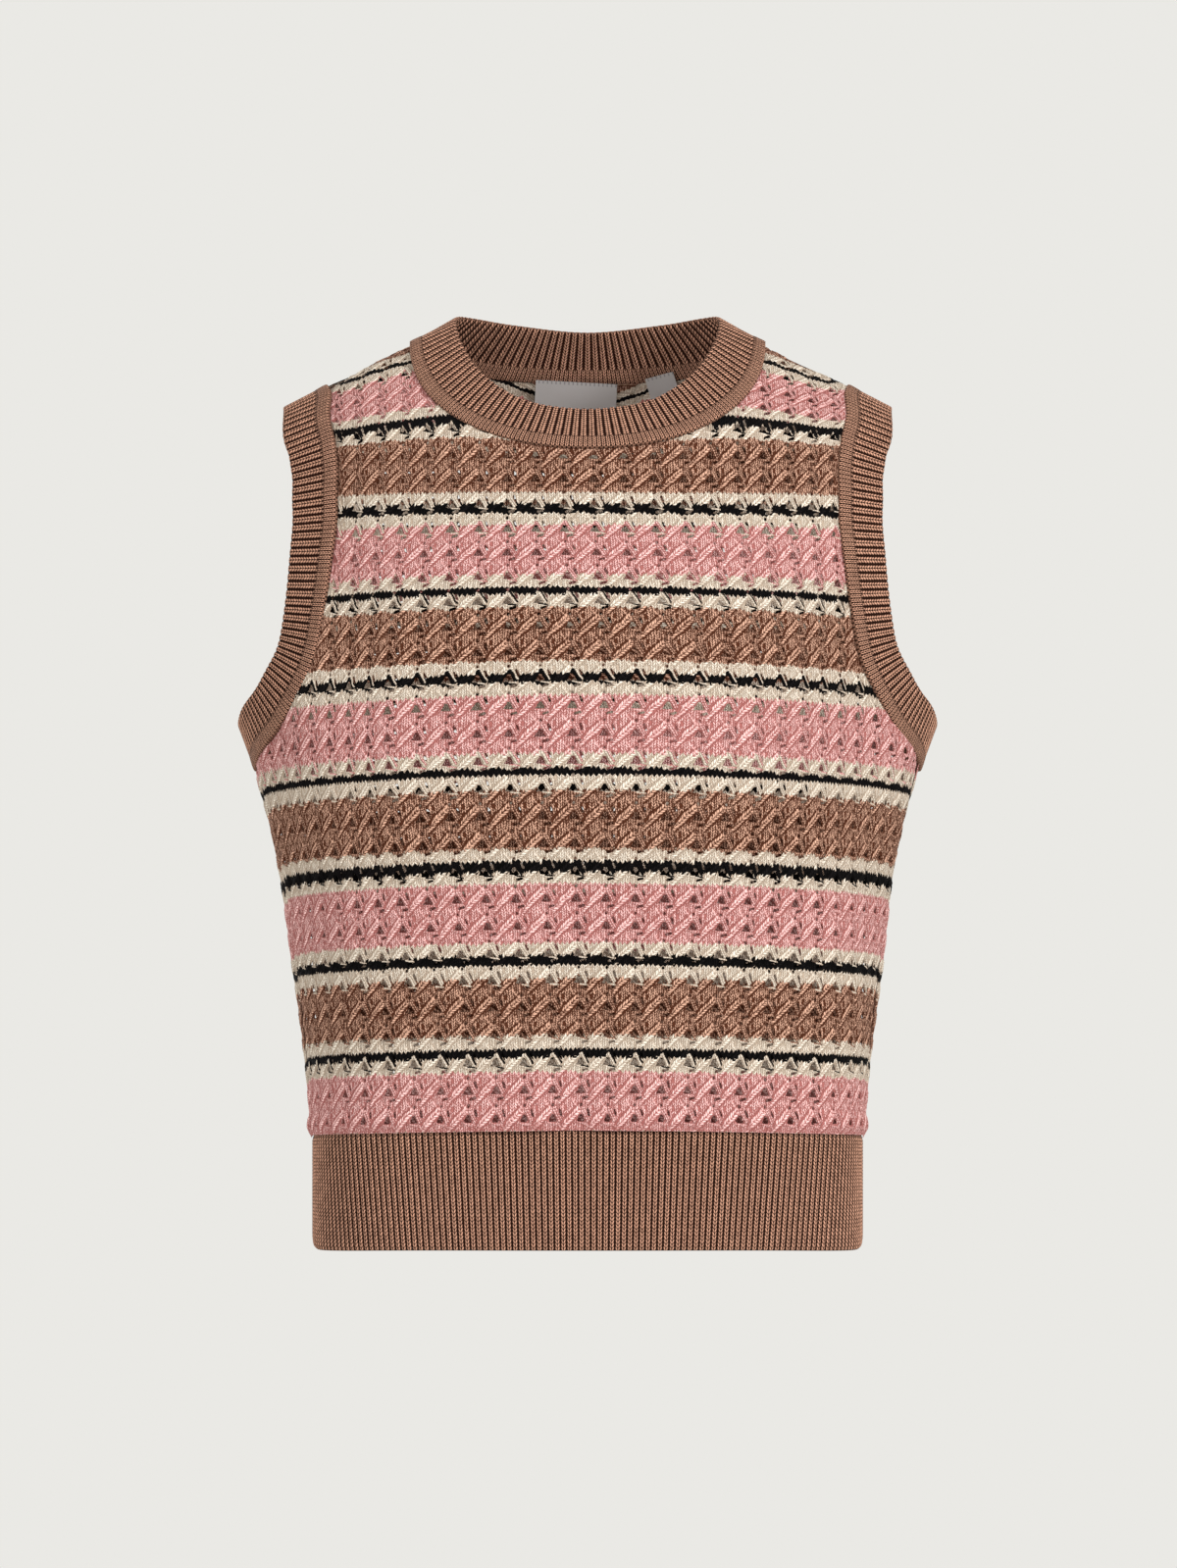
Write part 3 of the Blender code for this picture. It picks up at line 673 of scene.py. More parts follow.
def waves(face, way, height):
    """Soft folds of the worn cloth, in mm outward."""
    hem = np.clip((-250 - height) / 190, 0, 1)
    side = np.clip((np.abs(way) - 95) / 90, 0, 1) * np.clip((height + 380) / 90, 0, 1)
    folds, ripple, swell = FOLDS[face], RIPPLES[face], SWELLS[face]
    out = ripple.out * side * np.sin(way / ripple.wide + height / ripple.high)
    out += swell.out * np.sin(way / swell.wide + swell.across) * np.sin(
        height / swell.high + swell.up)
    for fold in folds:
        out += fold.out * hem * np.exp(-(((way - fold.middle) / fold.width) ** 2))
    return out


# ---------------------------------------------------------------------------
# Meshes.


def add_object(name, data, place=(0.0, 0.0, 0.0)):
    """A mesh, light or camera at this place in the scene."""
    made = bpy.data.objects.new(name, data)
    made.location = place
    bpy.context.scene.collection.objects.link(made)
    return made


def quads(number):
    """Faces between the neighbours in a grid of point numbers."""
    corners = (number[:-1, :-1], number[:-1, 1:], number[1:, 1:], number[1:, :-1])
    return np.stack(corners, axis=-1).reshape(-1, 4)


def add_mesh(name, points, faces, material, maps, values=None, caps=()):
    """A smooth shaded piece from points in mm, with its own maps and point values."""
    mesh = bpy.data.meshes.new(name)
    mesh.from_pydata((points * METRE).tolist(), [], faces.tolist() + list(caps))
    for key, uv in maps.items():
        uv = np.vstack([uv, np.zeros((sum(map(len, caps)), 2))])
        layer = mesh.uv_layers.new(name=key)
        layer.data.foreach_set("uv", uv.astype(np.float32).ravel())
    for key, value in (values or {}).items():
        made = mesh.attributes.new(key, "FLOAT", "POINT")
        made.data.foreach_set("value", value.astype(np.float32))
    mesh.polygons.foreach_set("use_smooth", np.ones(len(mesh.polygons), bool))
    mesh.materials.append(material)
    mesh.update()
    return add_object(name, mesh)


def used_only(faces, *tables):
    """Faces renumbered to the points that they use, and those points' values."""
    used, faces_now = np.unique(faces, return_inverse=True)
    return (faces_now.reshape(faces.shape), *(table[used] for table in tables))


def finish_piece(piece, node):
    """The piece moves with the root, and this solid is hidden."""
    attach(piece, "root")
    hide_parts(node)


# ---------------------------------------------------------------------------
# Lace panels.


def lace_grid(torso, face, per_column, per_row):
    """Grid of one panel: points, faces, cell and stitch maps, shade, rows of the faces."""
    repeat = Repeat(GAPS if face == "front" else GAPS[1:])
    columns = np.arange((LAST_COLUMN - FIRST_COLUMN) * per_column + 1) / per_column + FIRST_COLUMN
    rows = np.arange((LAST_ROW - FIRST_ROW) * per_row + 1) / per_row + FIRST_ROW
    wide, high = len(columns), len(rows)
    u, v = (grid.ravel() for grid in np.meshgrid(columns, rows))
    dice = np.random.default_rng(7 if face == "front" else 8)
    size = dice.uniform(-0.14, 0.16, (high // per_row + 2, wide // per_column + 2))
    lift = dice.uniform(0.8, 1.15, size.shape)
    cell = (np.round(v - FIRST_ROW).astype(int), np.round(u - FIRST_COLUMN).astype(int))
    edge = Field(outline(torso, face))

    def laid(u, v):
        """Level, way and height of these columns and rows."""
        level = lace_level(v)
        way = front_way(u, level) if face == "front" else back_way(u, level)
        return level, way, risen(torso, way, level, face)

    level, way, height = laid(u, v)
    beside = edge(way, height)
    grow = size[cell] - GAP_SHUT * np.clip((4.5 - beside) / 2, 0, 1)
    if face == "front":
        side = np.clip((np.abs(way) - 125) / 25, 0, 1) * np.clip((-235 - level) / 15, 0, 1)
        grow = grow - 0.6 * side
    else:
        side = np.clip((np.abs(way) - 105) / 30, 0, 1)
        top = np.clip((level + 62) / 8, 0, 1)
        grow = grow - 0.7 * side - GAP_SHUT * top
    x, y = u * CELL_WIDE, v * CELL_HIGH
    reach = 0.62 * min(CELL_WIDE / per_column, CELL_HIGH / per_row)
    far = repeat.look("gaps", x, y) - grow
    dx, dy = repeat.gap_slope(x, y)
    near = np.abs(far) < reach
    steep = np.maximum(dx**2 + dy**2, 0.3)
    x = x - np.where(near, far * dx / steep, 0.0)
    y = y - np.where(near, far * dy / steep, 0.0)
    u, v = x / CELL_WIDE, y / CELL_HIGH
    level, way, height = laid(u, v)

    inside = edge(way, height) + SEAM_LAP
    step = 0.4
    slope_x = (edge(way + step, height) - edge(way - step, height)) / (2 * step)
    slope_y = (edge(way, height + step) - edge(way, height - step)) / (2 * step)
    close = np.abs(inside) < 0.7
    way = way - np.where(close, inside * slope_x, 0.0)
    height = height - np.where(close, inside * slope_y, 0.0)

    faces = quads(np.arange(wide * high).reshape(high, wide))
    middle_x, middle_y = x[faces].mean(axis=1), y[faces].mean(axis=1)
    open_here = repeat.look("gaps", middle_x, middle_y) - grow[faces].mean(axis=1) < 0
    beside = edge(way[faces].mean(axis=1), height[faces].mean(axis=1))
    kept = ~open_here & (beside > -SEAM_LAP)
    faces, face_rows = faces[kept], middle_y[kept] / CELL_HIGH

    beside = edge(way, height)
    relief = repeat.look("height", x, y) * lift[cell]
    border = np.clip((beside + SEAM_LAP) / 3.0, 0, 1)
    shade = repeat.look("shade", x, y)
    # Painted shade along the panel's edges, where it meets the seams.
    shade = np.maximum(shade, 0.45 * np.exp(-(((beside + 0.4) / 1.3) ** 2)))
    over_hem = height - risen(torso, way, np.full(way.shape, HEM_SEAM), face)
    roll = ROLL_OUT * np.exp(-(((over_hem - ROLL_ABOVE) / ROLL_ABOVE) ** 2))
    points, out = torso(way if face == "front" else from_back(torso, way, height), height)
    relief = relief * border + roll - SHEET_DEPTH + waves(face, way, height)
    points = points + out * relief[:, None]
    bell = (0.5 + 0.5 * np.cos(2 * math.pi * (u - 0.03))) ** 3
    arch = ARCH * bell * np.sin(2 * math.pi * v)
    stitch = np.stack([u * WALES, (v - arch / CELL_HIGH) * COURSES], axis=1)
    return points, faces, np.stack([u, v], axis=1), stitch, shade, face_rows


def add_panel(face, per_column, per_row, material):
    """One panel as pieces that meet along courses."""
    points, faces, cell, stitch, shade, face_rows = lace_grid(
        torso_surface(), face, per_column, per_row)
    first = -math.inf
    for part in PARTS[face]:
        chosen = (face_rows > first) & (face_rows <= part.last)
        first = part.last
        own, own_points, own_shade, own_cell, own_stitch = used_only(
            faces[chosen], points, shade, cell, stitch)
        maps = {"Stitch": own_stitch[own].reshape(-1, 2), "Cell": own_cell[own].reshape(-1, 2)}
        piece = add_mesh(part.name, own_points, own, material, maps, {"shade": own_shade})
        finish_piece(piece, face)


# ---------------------------------------------------------------------------
# Ribbed bands.


def tangents(loop):
    return unit(np.roll(loop, -1, axis=0) - np.roll(loop, 1, axis=0))


def relax(vectors, rounds):
    for _ in range(rounds):
        vectors = unit(np.roll(vectors, 1, axis=0) + 2 * vectors + np.roll(vectors, -1, axis=0))
    return vectors


def neck_seam():
    """Neck seam as a closed loop, counter-clockwise from above."""
    halves = []
    for face in ("front", "back"):
        line = neckline(face, 121)
        shape = sections(line[:, 1])
        power = shape.front_round if face == "front" else shape.back_round
        deep = -shape.front if face == "front" else shape.back
        share = np.clip(1 - (line[:, 0] / shape.half_width) ** power, 0, 1) ** (1 / power)
        halves.append(np.stack([line[:, 0], deep * share, line[:, 1]], axis=1))
    right = np.vstack([halves[0][::-1], halves[1][1:]])
    left = right[1:-1][::-1] * (-1, 1, 1)
    return np.vstack([right, left])


def round_way(loop):
    """Way along each half of a mirrored loop: 0 front, 1 side, 2 back."""
    half = loop[: len(loop) // 2 + 1]
    way = np.concatenate([[0], np.cumsum(np.linalg.norm(np.diff(half, axis=0), axis=1))])
    side = float(np.interp(0.0, half[:, 1], way))
    return half, np.where(way < side, way / side, 1 + (way - side) / (way[-1] - side))


def neck_opening(seam):
    """The place on the neck band's free edge that faces each point of its seam."""
    right = [tuple(place) for place in NECK_OPENING]
    left = [(-x, y, z) for x, y, z in right[-2:0:-1]]
    half, way = round_way(catmull_rom(right + left, 12))
    _, seam_way = round_way(seam)
    facing = np.stack([np.interp(seam_way, way, column) for column in half.T], axis=1)
    return np.vstack([facing, facing[-2:0:-1] * (-1, 1, 1)])


def section_normals(section, x, y):
    step = 0.5
    above, below = sections(section.height + step), sections(section.height - step)
    rounds = np.where(y < 0, section.front_round, section.back_round)
    depth = np.where(y < 0, section.front, section.back)

    def level(part):
        power = np.where(y < 0, part.front_round, part.back_round)
        deep = np.where(y < 0, part.front, part.back)
        return (np.abs(x) / part.half_width) ** power + (np.abs(y) / deep) ** power

    return unit(np.stack([
        rounds * np.sign(x) * (np.abs(x) / section.half_width) ** (rounds - 1)
        / section.half_width,
        rounds * np.sign(y) * (np.abs(y) / depth) ** (rounds - 1) / depth,
        (level(above) - level(below)) / (above.height - below.height),
    ], axis=1))


def groove(ribs):
    """0 on a rib's crest and -1 in the groove beside it, ribs counted along."""
    return -((1 - np.sin(math.pi * (ribs % 1))) ** 1.4)


def rib_relief(rise, rib, depth):
    """Way outward and painted shade of a ring, darkest in its grooves, whose rib is below zero on
    the inner side.
    """
    if rib >= 0:
        return rise + rib * depth, rib * np.clip(-depth * 1.15, 0, 1)
    return rise - rib * (1 + depth), -0.8 * rib * np.clip(1.2 + depth * 2.4, 0, 1)


def band_profile(band):
    """Outer and inner rings of a band, each as way from the seam, way outward and rib depth."""
    outer = [(-0.7, 0.1, 0.0), (-0.2, 0.95, 0.0), (1.2, 1.15, 0.0), (3.6, 1.1, 0.0),
             (band.link - 1.2, 1.0, 0.0), (band.link, 0.85, 0.25), (band.link + 1.0, 0.75, 1.0)]
    way = band.link + 3.0
    while way < band.depth - 2.0:
        outer.append((way, 0.75, 1.15))
        way += 2.0
    outer += [(band.depth - 1.3, 0.75, 1.1), (band.depth - 0.2, 0.45, 0.9),
              (band.depth + 0.35, -0.5, 0.55)]
    inner = [(band.depth + 0.2, -1.5, -0.45), (band.depth - 0.7, -2.2, -0.8)]
    way = band.depth - 2.6
    while way > band.link + 2.0:
        inner.append((way, -2.5, -1.0))
        way -= 2.4
    inner += [(band.link + 0.8, -2.5, -0.8), (band.link - 0.6, -2.5, -0.2), (3.5, -2.5, 0.0),
              (0.4, -2.5, 0.0), (-0.8, -2.1, 0.0)]
    return outer, inner


def add_band(name, seam, seam_out, out, lean, band, per_rib, material):
    """Ribbed band all round a closed seam: lean is the step for 1 mm from it to the free edge."""
    count = len(seam)
    ribs = np.arange(count) / per_rib
    depth = groove(ribs)
    outer, inner = band_profile(band)
    rings, stitches, shades = [], [], []
    for way, rise, rib in outer + inner:
        blend = np.clip(way / band.link, 0, 1)
        facing = unit(seam_out * (1 - blend) + out * blend)
        offset, shade = rib_relief(rise, rib, depth)
        # Darker over the link strip, and painted shade in a line where it meets the ribs.
        if way < band.link:
            shade = shade + 0.10
        if way == band.link:
            shade = np.full(count, 0.8)
        rings.append(seam + lean * way + facing * offset[:, None])
        stitches.append(way / STITCH_ROW)
        shades.append(shade)
    high = len(rings)
    around = np.arange(count + 1)
    number = (np.arange(high + 1) % high)[:, None] * count + around[None] % count
    faces = quads(number)
    along = around / per_rib
    s = np.broadcast_to(along[None], (high + 1, count + 1))
    t = np.broadcast_to(np.array(stitches + stitches[:1])[:, None], (high + 1, count + 1))
    link_rings = np.array([way < band.link - 0.4 for way, _, _ in [*outer, *inner, outer[0]]])
    doubled = np.where((link_rings[:-1] | link_rings[1:])[:, None], 2.0, 1.0)
    turned = np.where(np.arange(high) >= len(outer), 0.5, 0.0)[:, None]
    corners = []
    for r, c in ((0, 0), (0, 1), (1, 1), (1, 0)):
        ss = s[r: high + r, c: count + c] * doubled + turned
        corners.append(np.stack([ss, t[r: high + r, c: count + c]], axis=-1))
    uv = np.stack(corners, axis=2).reshape(-1, 2)
    return add_mesh(name, np.vstack(rings), faces, material, {"Stitch": uv},
                    {"shade": np.concatenate(shades)})


def add_neck_band(per_rib, material):
    seam = even(neck_seam(), per_rib * NECK_BAND.ribs, closed=True)
    rounds = 3 * (per_rib // 2) ** 2
    reach = neck_opening(seam) - seam
    for _ in range(rounds):
        reach = 0.25 * (np.roll(reach, 1, axis=0) + 2 * reach + np.roll(reach, -1, axis=0))
    lean = reach / NECK_BAND.depth
    out = relax(unit(np.cross(tangents(seam), lean)), rounds)
    seam_out = section_normals(sections(seam[:, 2]), seam[:, 0], seam[:, 1])
    piece = add_band("neck_band", seam, seam_out, out, lean, NECK_BAND, per_rib, material)
    finish_piece(piece, "neck_rib")
    return piece


def add_armhole_band(torso, side, per_rib, material):
    """Armhole band of the right side, at +X, or the left side, at -X."""
    places = armhole_places(torso)
    way = torso.side_way(places[:, 1]) + places[:, 0]
    loop = torso(way, places[:, 1])[0]
    seam = even(loop, per_rib * ARM_BAND.ribs, closed=True)
    seam_out = section_normals(sections(seam[:, 2]), seam[:, 0], seam[:, 1])
    rounds = 8 * (per_rib // 2) ** 2
    out = relax(seam_out, 3 * rounds)
    lean = unit(np.cross(out, tangents(seam)))
    if lean[0] @ (seam.mean(axis=0) - seam[0]) < 0:
        lean = -lean
    low = np.clip((seam[:, 2:] - UNDERARM) / (SHOULDER_TIP - UNDERARM), 0, 1)
    flare = UNDERARM_FLARE * (1 - low) ** 3 - INWARD * np.exp(-(((low - 0.38) / 0.20) ** 2))
    flare = np.radians(flare)
    lean = relax(unit(lean * np.cos(flare) + out * np.sin(flare)), 8 * rounds)
    out = unit(out - lean * (out * lean).sum(axis=1, keepdims=True))
    mirror = (1.0 if side == "right" else -1.0, 1.0, 1.0)
    parts = [part * mirror for part in (seam, seam_out, out, lean)]
    if np.cross(tangents(parts[0])[0], parts[3][0]) @ parts[2][0] < 0:
        parts = [np.roll(part[::-1], 1, axis=0) for part in parts]
    piece = add_band(f"armhole_band_{side}", *parts, ARM_BAND, per_rib, material)
    finish_piece(piece, f"armhole_rib_{side}")
    return piece


def add_hem_band(hem, face, per_rib, material):
    """Front or back half of the hem rib, between the side seams."""
    side = float(hem.side[0])
    side_way = side if face == "front" else float(hem.girth[0]) - side
    reach = side - SIDE_SEAM_FORWARD
    if face == "back":
        reach = side_way + SIDE_SEAM_FORWARD
    ribs = round(2 * reach / RIB_PITCH)
    count = ribs * per_rib + 1
    x = np.linspace(-1, 1, count)
    number = np.arange(count) / per_rib
    depth = groove(number)
    seam_level = HEM_SEAM + 0.4
    arch = float(smooth(COURSE_RISE, face, HEM_SEAM))
    top = seam_level + arch * np.clip(1 - (x * reach / side) ** 2, 0, 1)
    profile = [(0.0, -1.2, 0.0), (0.02, 0.2, 0.8)]
    profile += [(t, 0.75, 1.15) for t in np.linspace(0.06, 0.95, 24)]
    profile += [(0.985, 0.5, 0.9), (1.0, -0.5, 0.5), (0.992, -1.6, -0.5)]
    profile += [(t, -2.4, -1.0) for t in np.linspace(0.96, 0.04, 12)]
    rings, shades, rows = [], [], []
    for t, rise, rib in profile:
        way = reach * (x - 0.05 * t * x * (1 - x**8))
        level = top + (HEM_EDGE - top) * t
        way_now = way if face == "front" else from_back(hem, way, level)
        share = np.abs(hem(way_now, level)[0][:, 0]) / HEM_SECTION.half_width
        corner = HEM_CORNER * np.exp(-(((np.abs(way) - side_way) / HEM_CORNER_WIDTH) ** 2))
        corner = corner - HEM_SAG * share**4
        level = level + corner * t**3
        points, out = hem(way_now, level)
        offset, shade = rib_relief(rise, rib, depth)
        # Painted shade along the top of the rib, under the lace that rolls over it.
        if rib >= 0:
            shade = np.maximum(shade, 1.1 * np.exp(-((t / 0.022) ** 2)))
        rings.append(points + out * offset[:, None])
        shades.append(shade)
        rows.append(t * (HEM_SEAM - HEM_EDGE) / STITCH_ROW)
    high = len(rings)
    index = (np.arange(high + 1) % high)[:, None] * count + np.arange(count)[None]
    faces = quads(index)[:, [0, 3, 2, 1]]
    caps = [index[:-1, 0].tolist(), index[:-1, -1][::-1].tolist()]
    turned = np.where(np.array([rib for _, _, rib in profile]) < 0, 0.5, 0.0)
    s = (number[None] + turned[:, None]).ravel()
    t = -np.broadcast_to(np.array(rows)[:, None], (high, count)).ravel()
    uv = np.stack([s, t], axis=1)[faces].reshape(-1, 2)
    piece = add_mesh(f"hem_band_{face}", np.vstack(rings), faces, material, {"Stitch": uv},
                     {"shade": np.concatenate(shades)}, caps)
    finish_piece(piece, f"hem_rib_{face}")
    return piece


def add_label(torso, label, material):
    """Small satin label against the inside of the back, below the neck seam."""
    wide = np.linspace(-label.wide / 2, label.wide / 2, 41)
    drop = np.linspace(-label.drop, 0, 21)
    turn = math.radians(label.turn)
    u, v = (grid.ravel() for grid in np.meshgrid(wide, drop))
    way = -label.across - u * math.cos(turn) + v * math.sin(turn)
    height = label.top + u * math.sin(turn) + v * math.cos(turn)
    points, out = torso(from_back(torso, way, height), height)
    curl = 0.5 * (u / label.wide) ** 2 + 2.2 * (1 + v / label.drop)
    pucker = 0.12 * np.sin(u * 2.1) * np.exp(v / 1.2)
    points = points - out * (LABEL_INSIDE + curl + pucker)[:, None]
    count = len(wide)
    index = np.arange(len(u)).reshape(-1, count)
    faces = quads(index)[:, [0, 3, 2, 1]]
    uv = np.stack([u, v], axis=1)[faces].reshape(-1, 2)
    piece = add_mesh(label.name + "_satin", points, faces, material, {"Stitch": uv})
    finish_piece(piece, label.name)
    return piece


# ---------------------------------------------------------------------------
# Shader nodes.


def colour(rgb, share=1.0):
    return (*(share * value for value in rgb), 1.0)


class Value:
    """Output of a node, ready for sums with other outputs and numbers."""

    def __init__(self, nodes, socket):
        self.nodes = nodes
        self.socket = socket

    def __add__(self, other):
        return self.nodes.math("ADD", self, other)

    def __mul__(self, other):
        return self.nodes.math("MULTIPLY", self, other)

    def __sub__(self, other):
        return self.nodes.math("SUBTRACT", self, other)

    def __rsub__(self, other):
        return self.nodes.math("SUBTRACT", other, self)

    def __truediv__(self, other):
        return self.nodes.math("DIVIDE", self, other)

    def __abs__(self):
        return self.nodes.math("ABSOLUTE", self)


class Nodes:
    """Adds and links the nodes of one tree."""

    def __init__(self, tree):
        self.tree = tree

    def feed(self, socket, value):
        if isinstance(value, Value):
            self.tree.links.new(value.socket, socket)
        else:
            socket.default_value = value

    def add(self, kind, inputs=(), **settings):
        """A node with these settings, and inputs by name or number."""
        node = self.tree.nodes.new(kind)
        for key, value in settings.items():
            setattr(node, key, value)
        for key, value in dict(inputs).items():
            self.feed(node.inputs[key], value)
        return node

    def value(self, output, kind, inputs=(), **settings):
        """One output of a new node."""
        return Value(self, self.add(kind, inputs, **settings).outputs[output])

    def math(self, operation, *values, clamp=False):
        return self.value(0, "ShaderNodeMath", enumerate(values), operation=operation,
                          use_clamp=clamp)

    def vector(self, operation, *values):
        output = "Value" if operation in ("DOT_PRODUCT", "DISTANCE") else "Vector"
        return self.value(output, "ShaderNodeVectorMath", enumerate(values), operation=operation)

    def place(self, x, y, z=0.0):
        return self.value(0, "ShaderNodeCombineXYZ", enumerate((x, y, z)))

    def split(self, vector):
        node = self.add("ShaderNodeSeparateXYZ", {0: vector})
        return Value(self, node.outputs[0]), Value(self, node.outputs[1])

    def noise(self, output, place, scale, detail=2.0):
        return self.value(output, "ShaderNodeTexNoise",
                          {"Vector": place, "Scale": scale, "Detail": detail})

    def group(self, tree, *inputs):
        node = self.add("ShaderNodeGroup", node_tree=tree)
        for socket, value in zip(node.inputs, inputs):
            self.feed(socket, value)
        return [Value(self, output) for output in node.outputs]

    def choose(self, share, first, second):
        """The first number where the share is 0 and the second where it is 1."""
        return self.value(0, "ShaderNodeMix", {0: share, 2: first, 3: second}, data_type="FLOAT")

    def mix(self, share, first, second):
        """The first colour where the share is 0 and the second where it is 1."""
        return self.value(2, "ShaderNodeMix", {0: share, 6: first, 7: second}, data_type="RGBA")


def shared_group(name, inputs, outputs, build):
    """The shader group of this name: build makes its outputs from its inputs, once."""
    group = bpy.data.node_groups.get(name)
    if group:
        return group
    group = bpy.data.node_groups.new(name, "ShaderNodeTree")
    for key, kind in inputs:
        group.interface.new_socket(key, in_out="INPUT", socket_type=f"NodeSocket{kind}")
    for key in outputs:
        group.interface.new_socket(key, in_out="OUTPUT", socket_type="NodeSocketFloat")
    nodes = Nodes(group)
    given = nodes.add("NodeGroupInput").outputs
    made = build(nodes, *(Value(nodes, given[key]) for key, _ in inputs))
    nodes.add("NodeGroupOutput", zip(outputs, made))
    return group


def stitch_group():
    """Stocking stitch from a map that counts wales and courses: Off is the way to its middle."""

    def build(nodes, place, leg, lots):
        across, up = nodes.split(place)
        side = abs(nodes.math("FRACT", across) * 2.0 - 1.0)
        slanted = up - side * STITCH_SLANT
        course = nodes.math("FRACT", slanted)
        beside = side / leg * 2.0 - 1.0
        along = course * 2.0 - 1.0
        dome = 1.05 - beside * beside * 0.8 - along * along * 0.75
        height = nodes.math("SQRT", nodes.math("MAXIMUM", dome, 0.0))
        own = nodes.place(nodes.math("FLOOR", across * 2.0), nodes.math("FLOOR", slanted))
        lot = nodes.value("Value", "ShaderNodeTexWhiteNoise", {"Vector": own},
                          noise_dimensions="2D")
        # Lit is painted light: full on a stitch's crown, less down its sides, and a little
        # different for each stitch.
        return height, height * ((lot - 0.5) * lots + 1.0), 1.075 - course - side * STITCH_SLANT

    return shared_group("knit_stitch", [("Map", "Vector"), ("Leg", "Float"), ("Lots", "Float")],
                        ["Height", "Lit", "Off"], build)


def strand_group():
    """Round strand from one place to another, in a map's own units."""

    def build(nodes, at, start, run, radius, lift, turns):
        way = nodes.vector("SUBTRACT", at, start)
        share = nodes.math("DIVIDE", nodes.vector("DOT_PRODUCT", way, run),
                           nodes.vector("DOT_PRODUCT", run, run), clamp=True)
        nearest = nodes.vector("MULTIPLY", run, nodes.place(share, share, share))
        far = nodes.vector("DISTANCE", way, nearest) / radius
        dome = nodes.math("SQRT", nodes.math("MAXIMUM", 1.0 - far * far, 0.0))
        ply = nodes.math("SINE", share * turns * (2 * math.pi))
        # Painted light: full along the strand's crown, less down its sides and between its plies.
        lit = dome * (ply * 0.12 + 0.88)
        return lit * lift, lit

    inputs = [("At", "Vector"), ("Start", "Vector"), ("Run", "Vector"), ("Radius", "Float"),
              ("Lift", "Float"), ("Turns", "Float")]
    return shared_group("strand", inputs, ["Height", "Lit"], build)


def build_lace(nodes, cell, stitch_map):
    u, v = nodes.split(cell)

    def window(before):
        """Place in mm from the eyelet, in cells that start this far before it."""
        rows = v + before[1]
        x = nodes.math("FRACT", u + before[0]) - before[0]
        y = nodes.math("FRACT", rows) - before[1]
        return nodes.place(x * CELL_WIDE, y * CELL_HIGH), nodes.math("FLOOR", rows)

    def strand(at, line):
        run = (line.x2 - line.x1, line.y2 - line.y1, 0.0)
        return nodes.group(strand_group(), at, (line.x1, line.y1, 0.0), run, line.radius,
                           line.lift, math.hypot(*run) / PLY_TURN)

    # Plain stitches between the cables.
    plain, plain_lit, off = nodes.group(stitch_group(), stitch_map, 1.0, LACE_LOTS)
    row = (nodes.split(stitch_map)[1] + off) * (1.0 / COURSES)
    height = plain * PLAIN_HIGH

    # Cable that runs up to the right, with a shadow along both its sides.
    slope = CELL_HIGH / CELL_WIDE
    long = math.hypot(1, slope)
    apart = nodes.math("FRACT", v - u + (0.5 + CABLE_THROUGH / CELL_WIDE)) - 0.5
    across = apart * (CELL_HIGH / long)
    along = u * (CELL_WIDE / long) + v * (CELL_HIGH * slope / long)
    at = nodes.place(across * (0.5 / CABLE_STRAND) + 0.5, along * (1 / CABLE_STITCH))
    twist, twist_lit, cable_off = nodes.group(stitch_group(), at, 1.0, LACE_LOTS)
    share = nodes.math("FRACT", u)
    ends = nodes.math("MINIMUM", share - CABLE_SPAN[0], CABLE_SPAN[1] - share)
    inside = nodes.math("MINIMUM", CABLE_HALF + 0.1 - abs(across), ends * CELL_WIDE)
    mask = nodes.math("MULTIPLY", inside, 3.0, clamp=True)
    cable = ((twist * 0.8 + 0.2) * 0.66 + 0.10) * mask
    over = nodes.math("GREATER_THAN", cable, height)
    height = nodes.math("MAXIMUM", height, cable)
    lit = nodes.choose(over, plain_lit * PLAIN_LIT, twist_lit * CABLE_LIT)
    row = nodes.choose(over, row, v + cable_off * (CABLE_STITCH * slope / long / CELL_HIGH))
    beside = abs(abs(across) - (CABLE_HALF + 0.25))
    shadow = nodes.math("MULTIPLY_ADD", beside, -1.5, 1.0, clamp=True)
    lit = lit - shadow * nodes.math("MULTIPLY", ends, 9.0, clamp=True) * 0.5

    # Long strands.
    for before, lines in ((WINDOW, STRANDS), (UPPER_WINDOW, UPPER_STRANDS)):
        at, cell_row = window(before)
        for line in lines:
            strand_height, strand_lit = strand(at, line)
            over = nodes.math("GREATER_THAN", strand_height, height)
            lit = nodes.choose(over, lit, strand_lit)
            if line.carried is not OWN:
                row = nodes.choose(over, row, cell_row + line.carried)
            height = nodes.math("MAXIMUM", height, strand_height)
        if lines is STRANDS:
            # Crevices sink the relief and darken it with painted shade.
            for line in CREVICES:
                crevice = strand(at, line)[0]
                height = height - crevice
                lit = lit - crevice
    return height, lit, row


def lace_group():
    """Yarn of one repeat: its height in mm, its painted light, and its yarn's row."""
    return shared_group("lace", [("Cell", "Vector"), ("Stitch", "Vector")],
                        ["Height", "Lit", "Row"], build_lace)


# ---------------------------------------------------------------------------
# Materials.


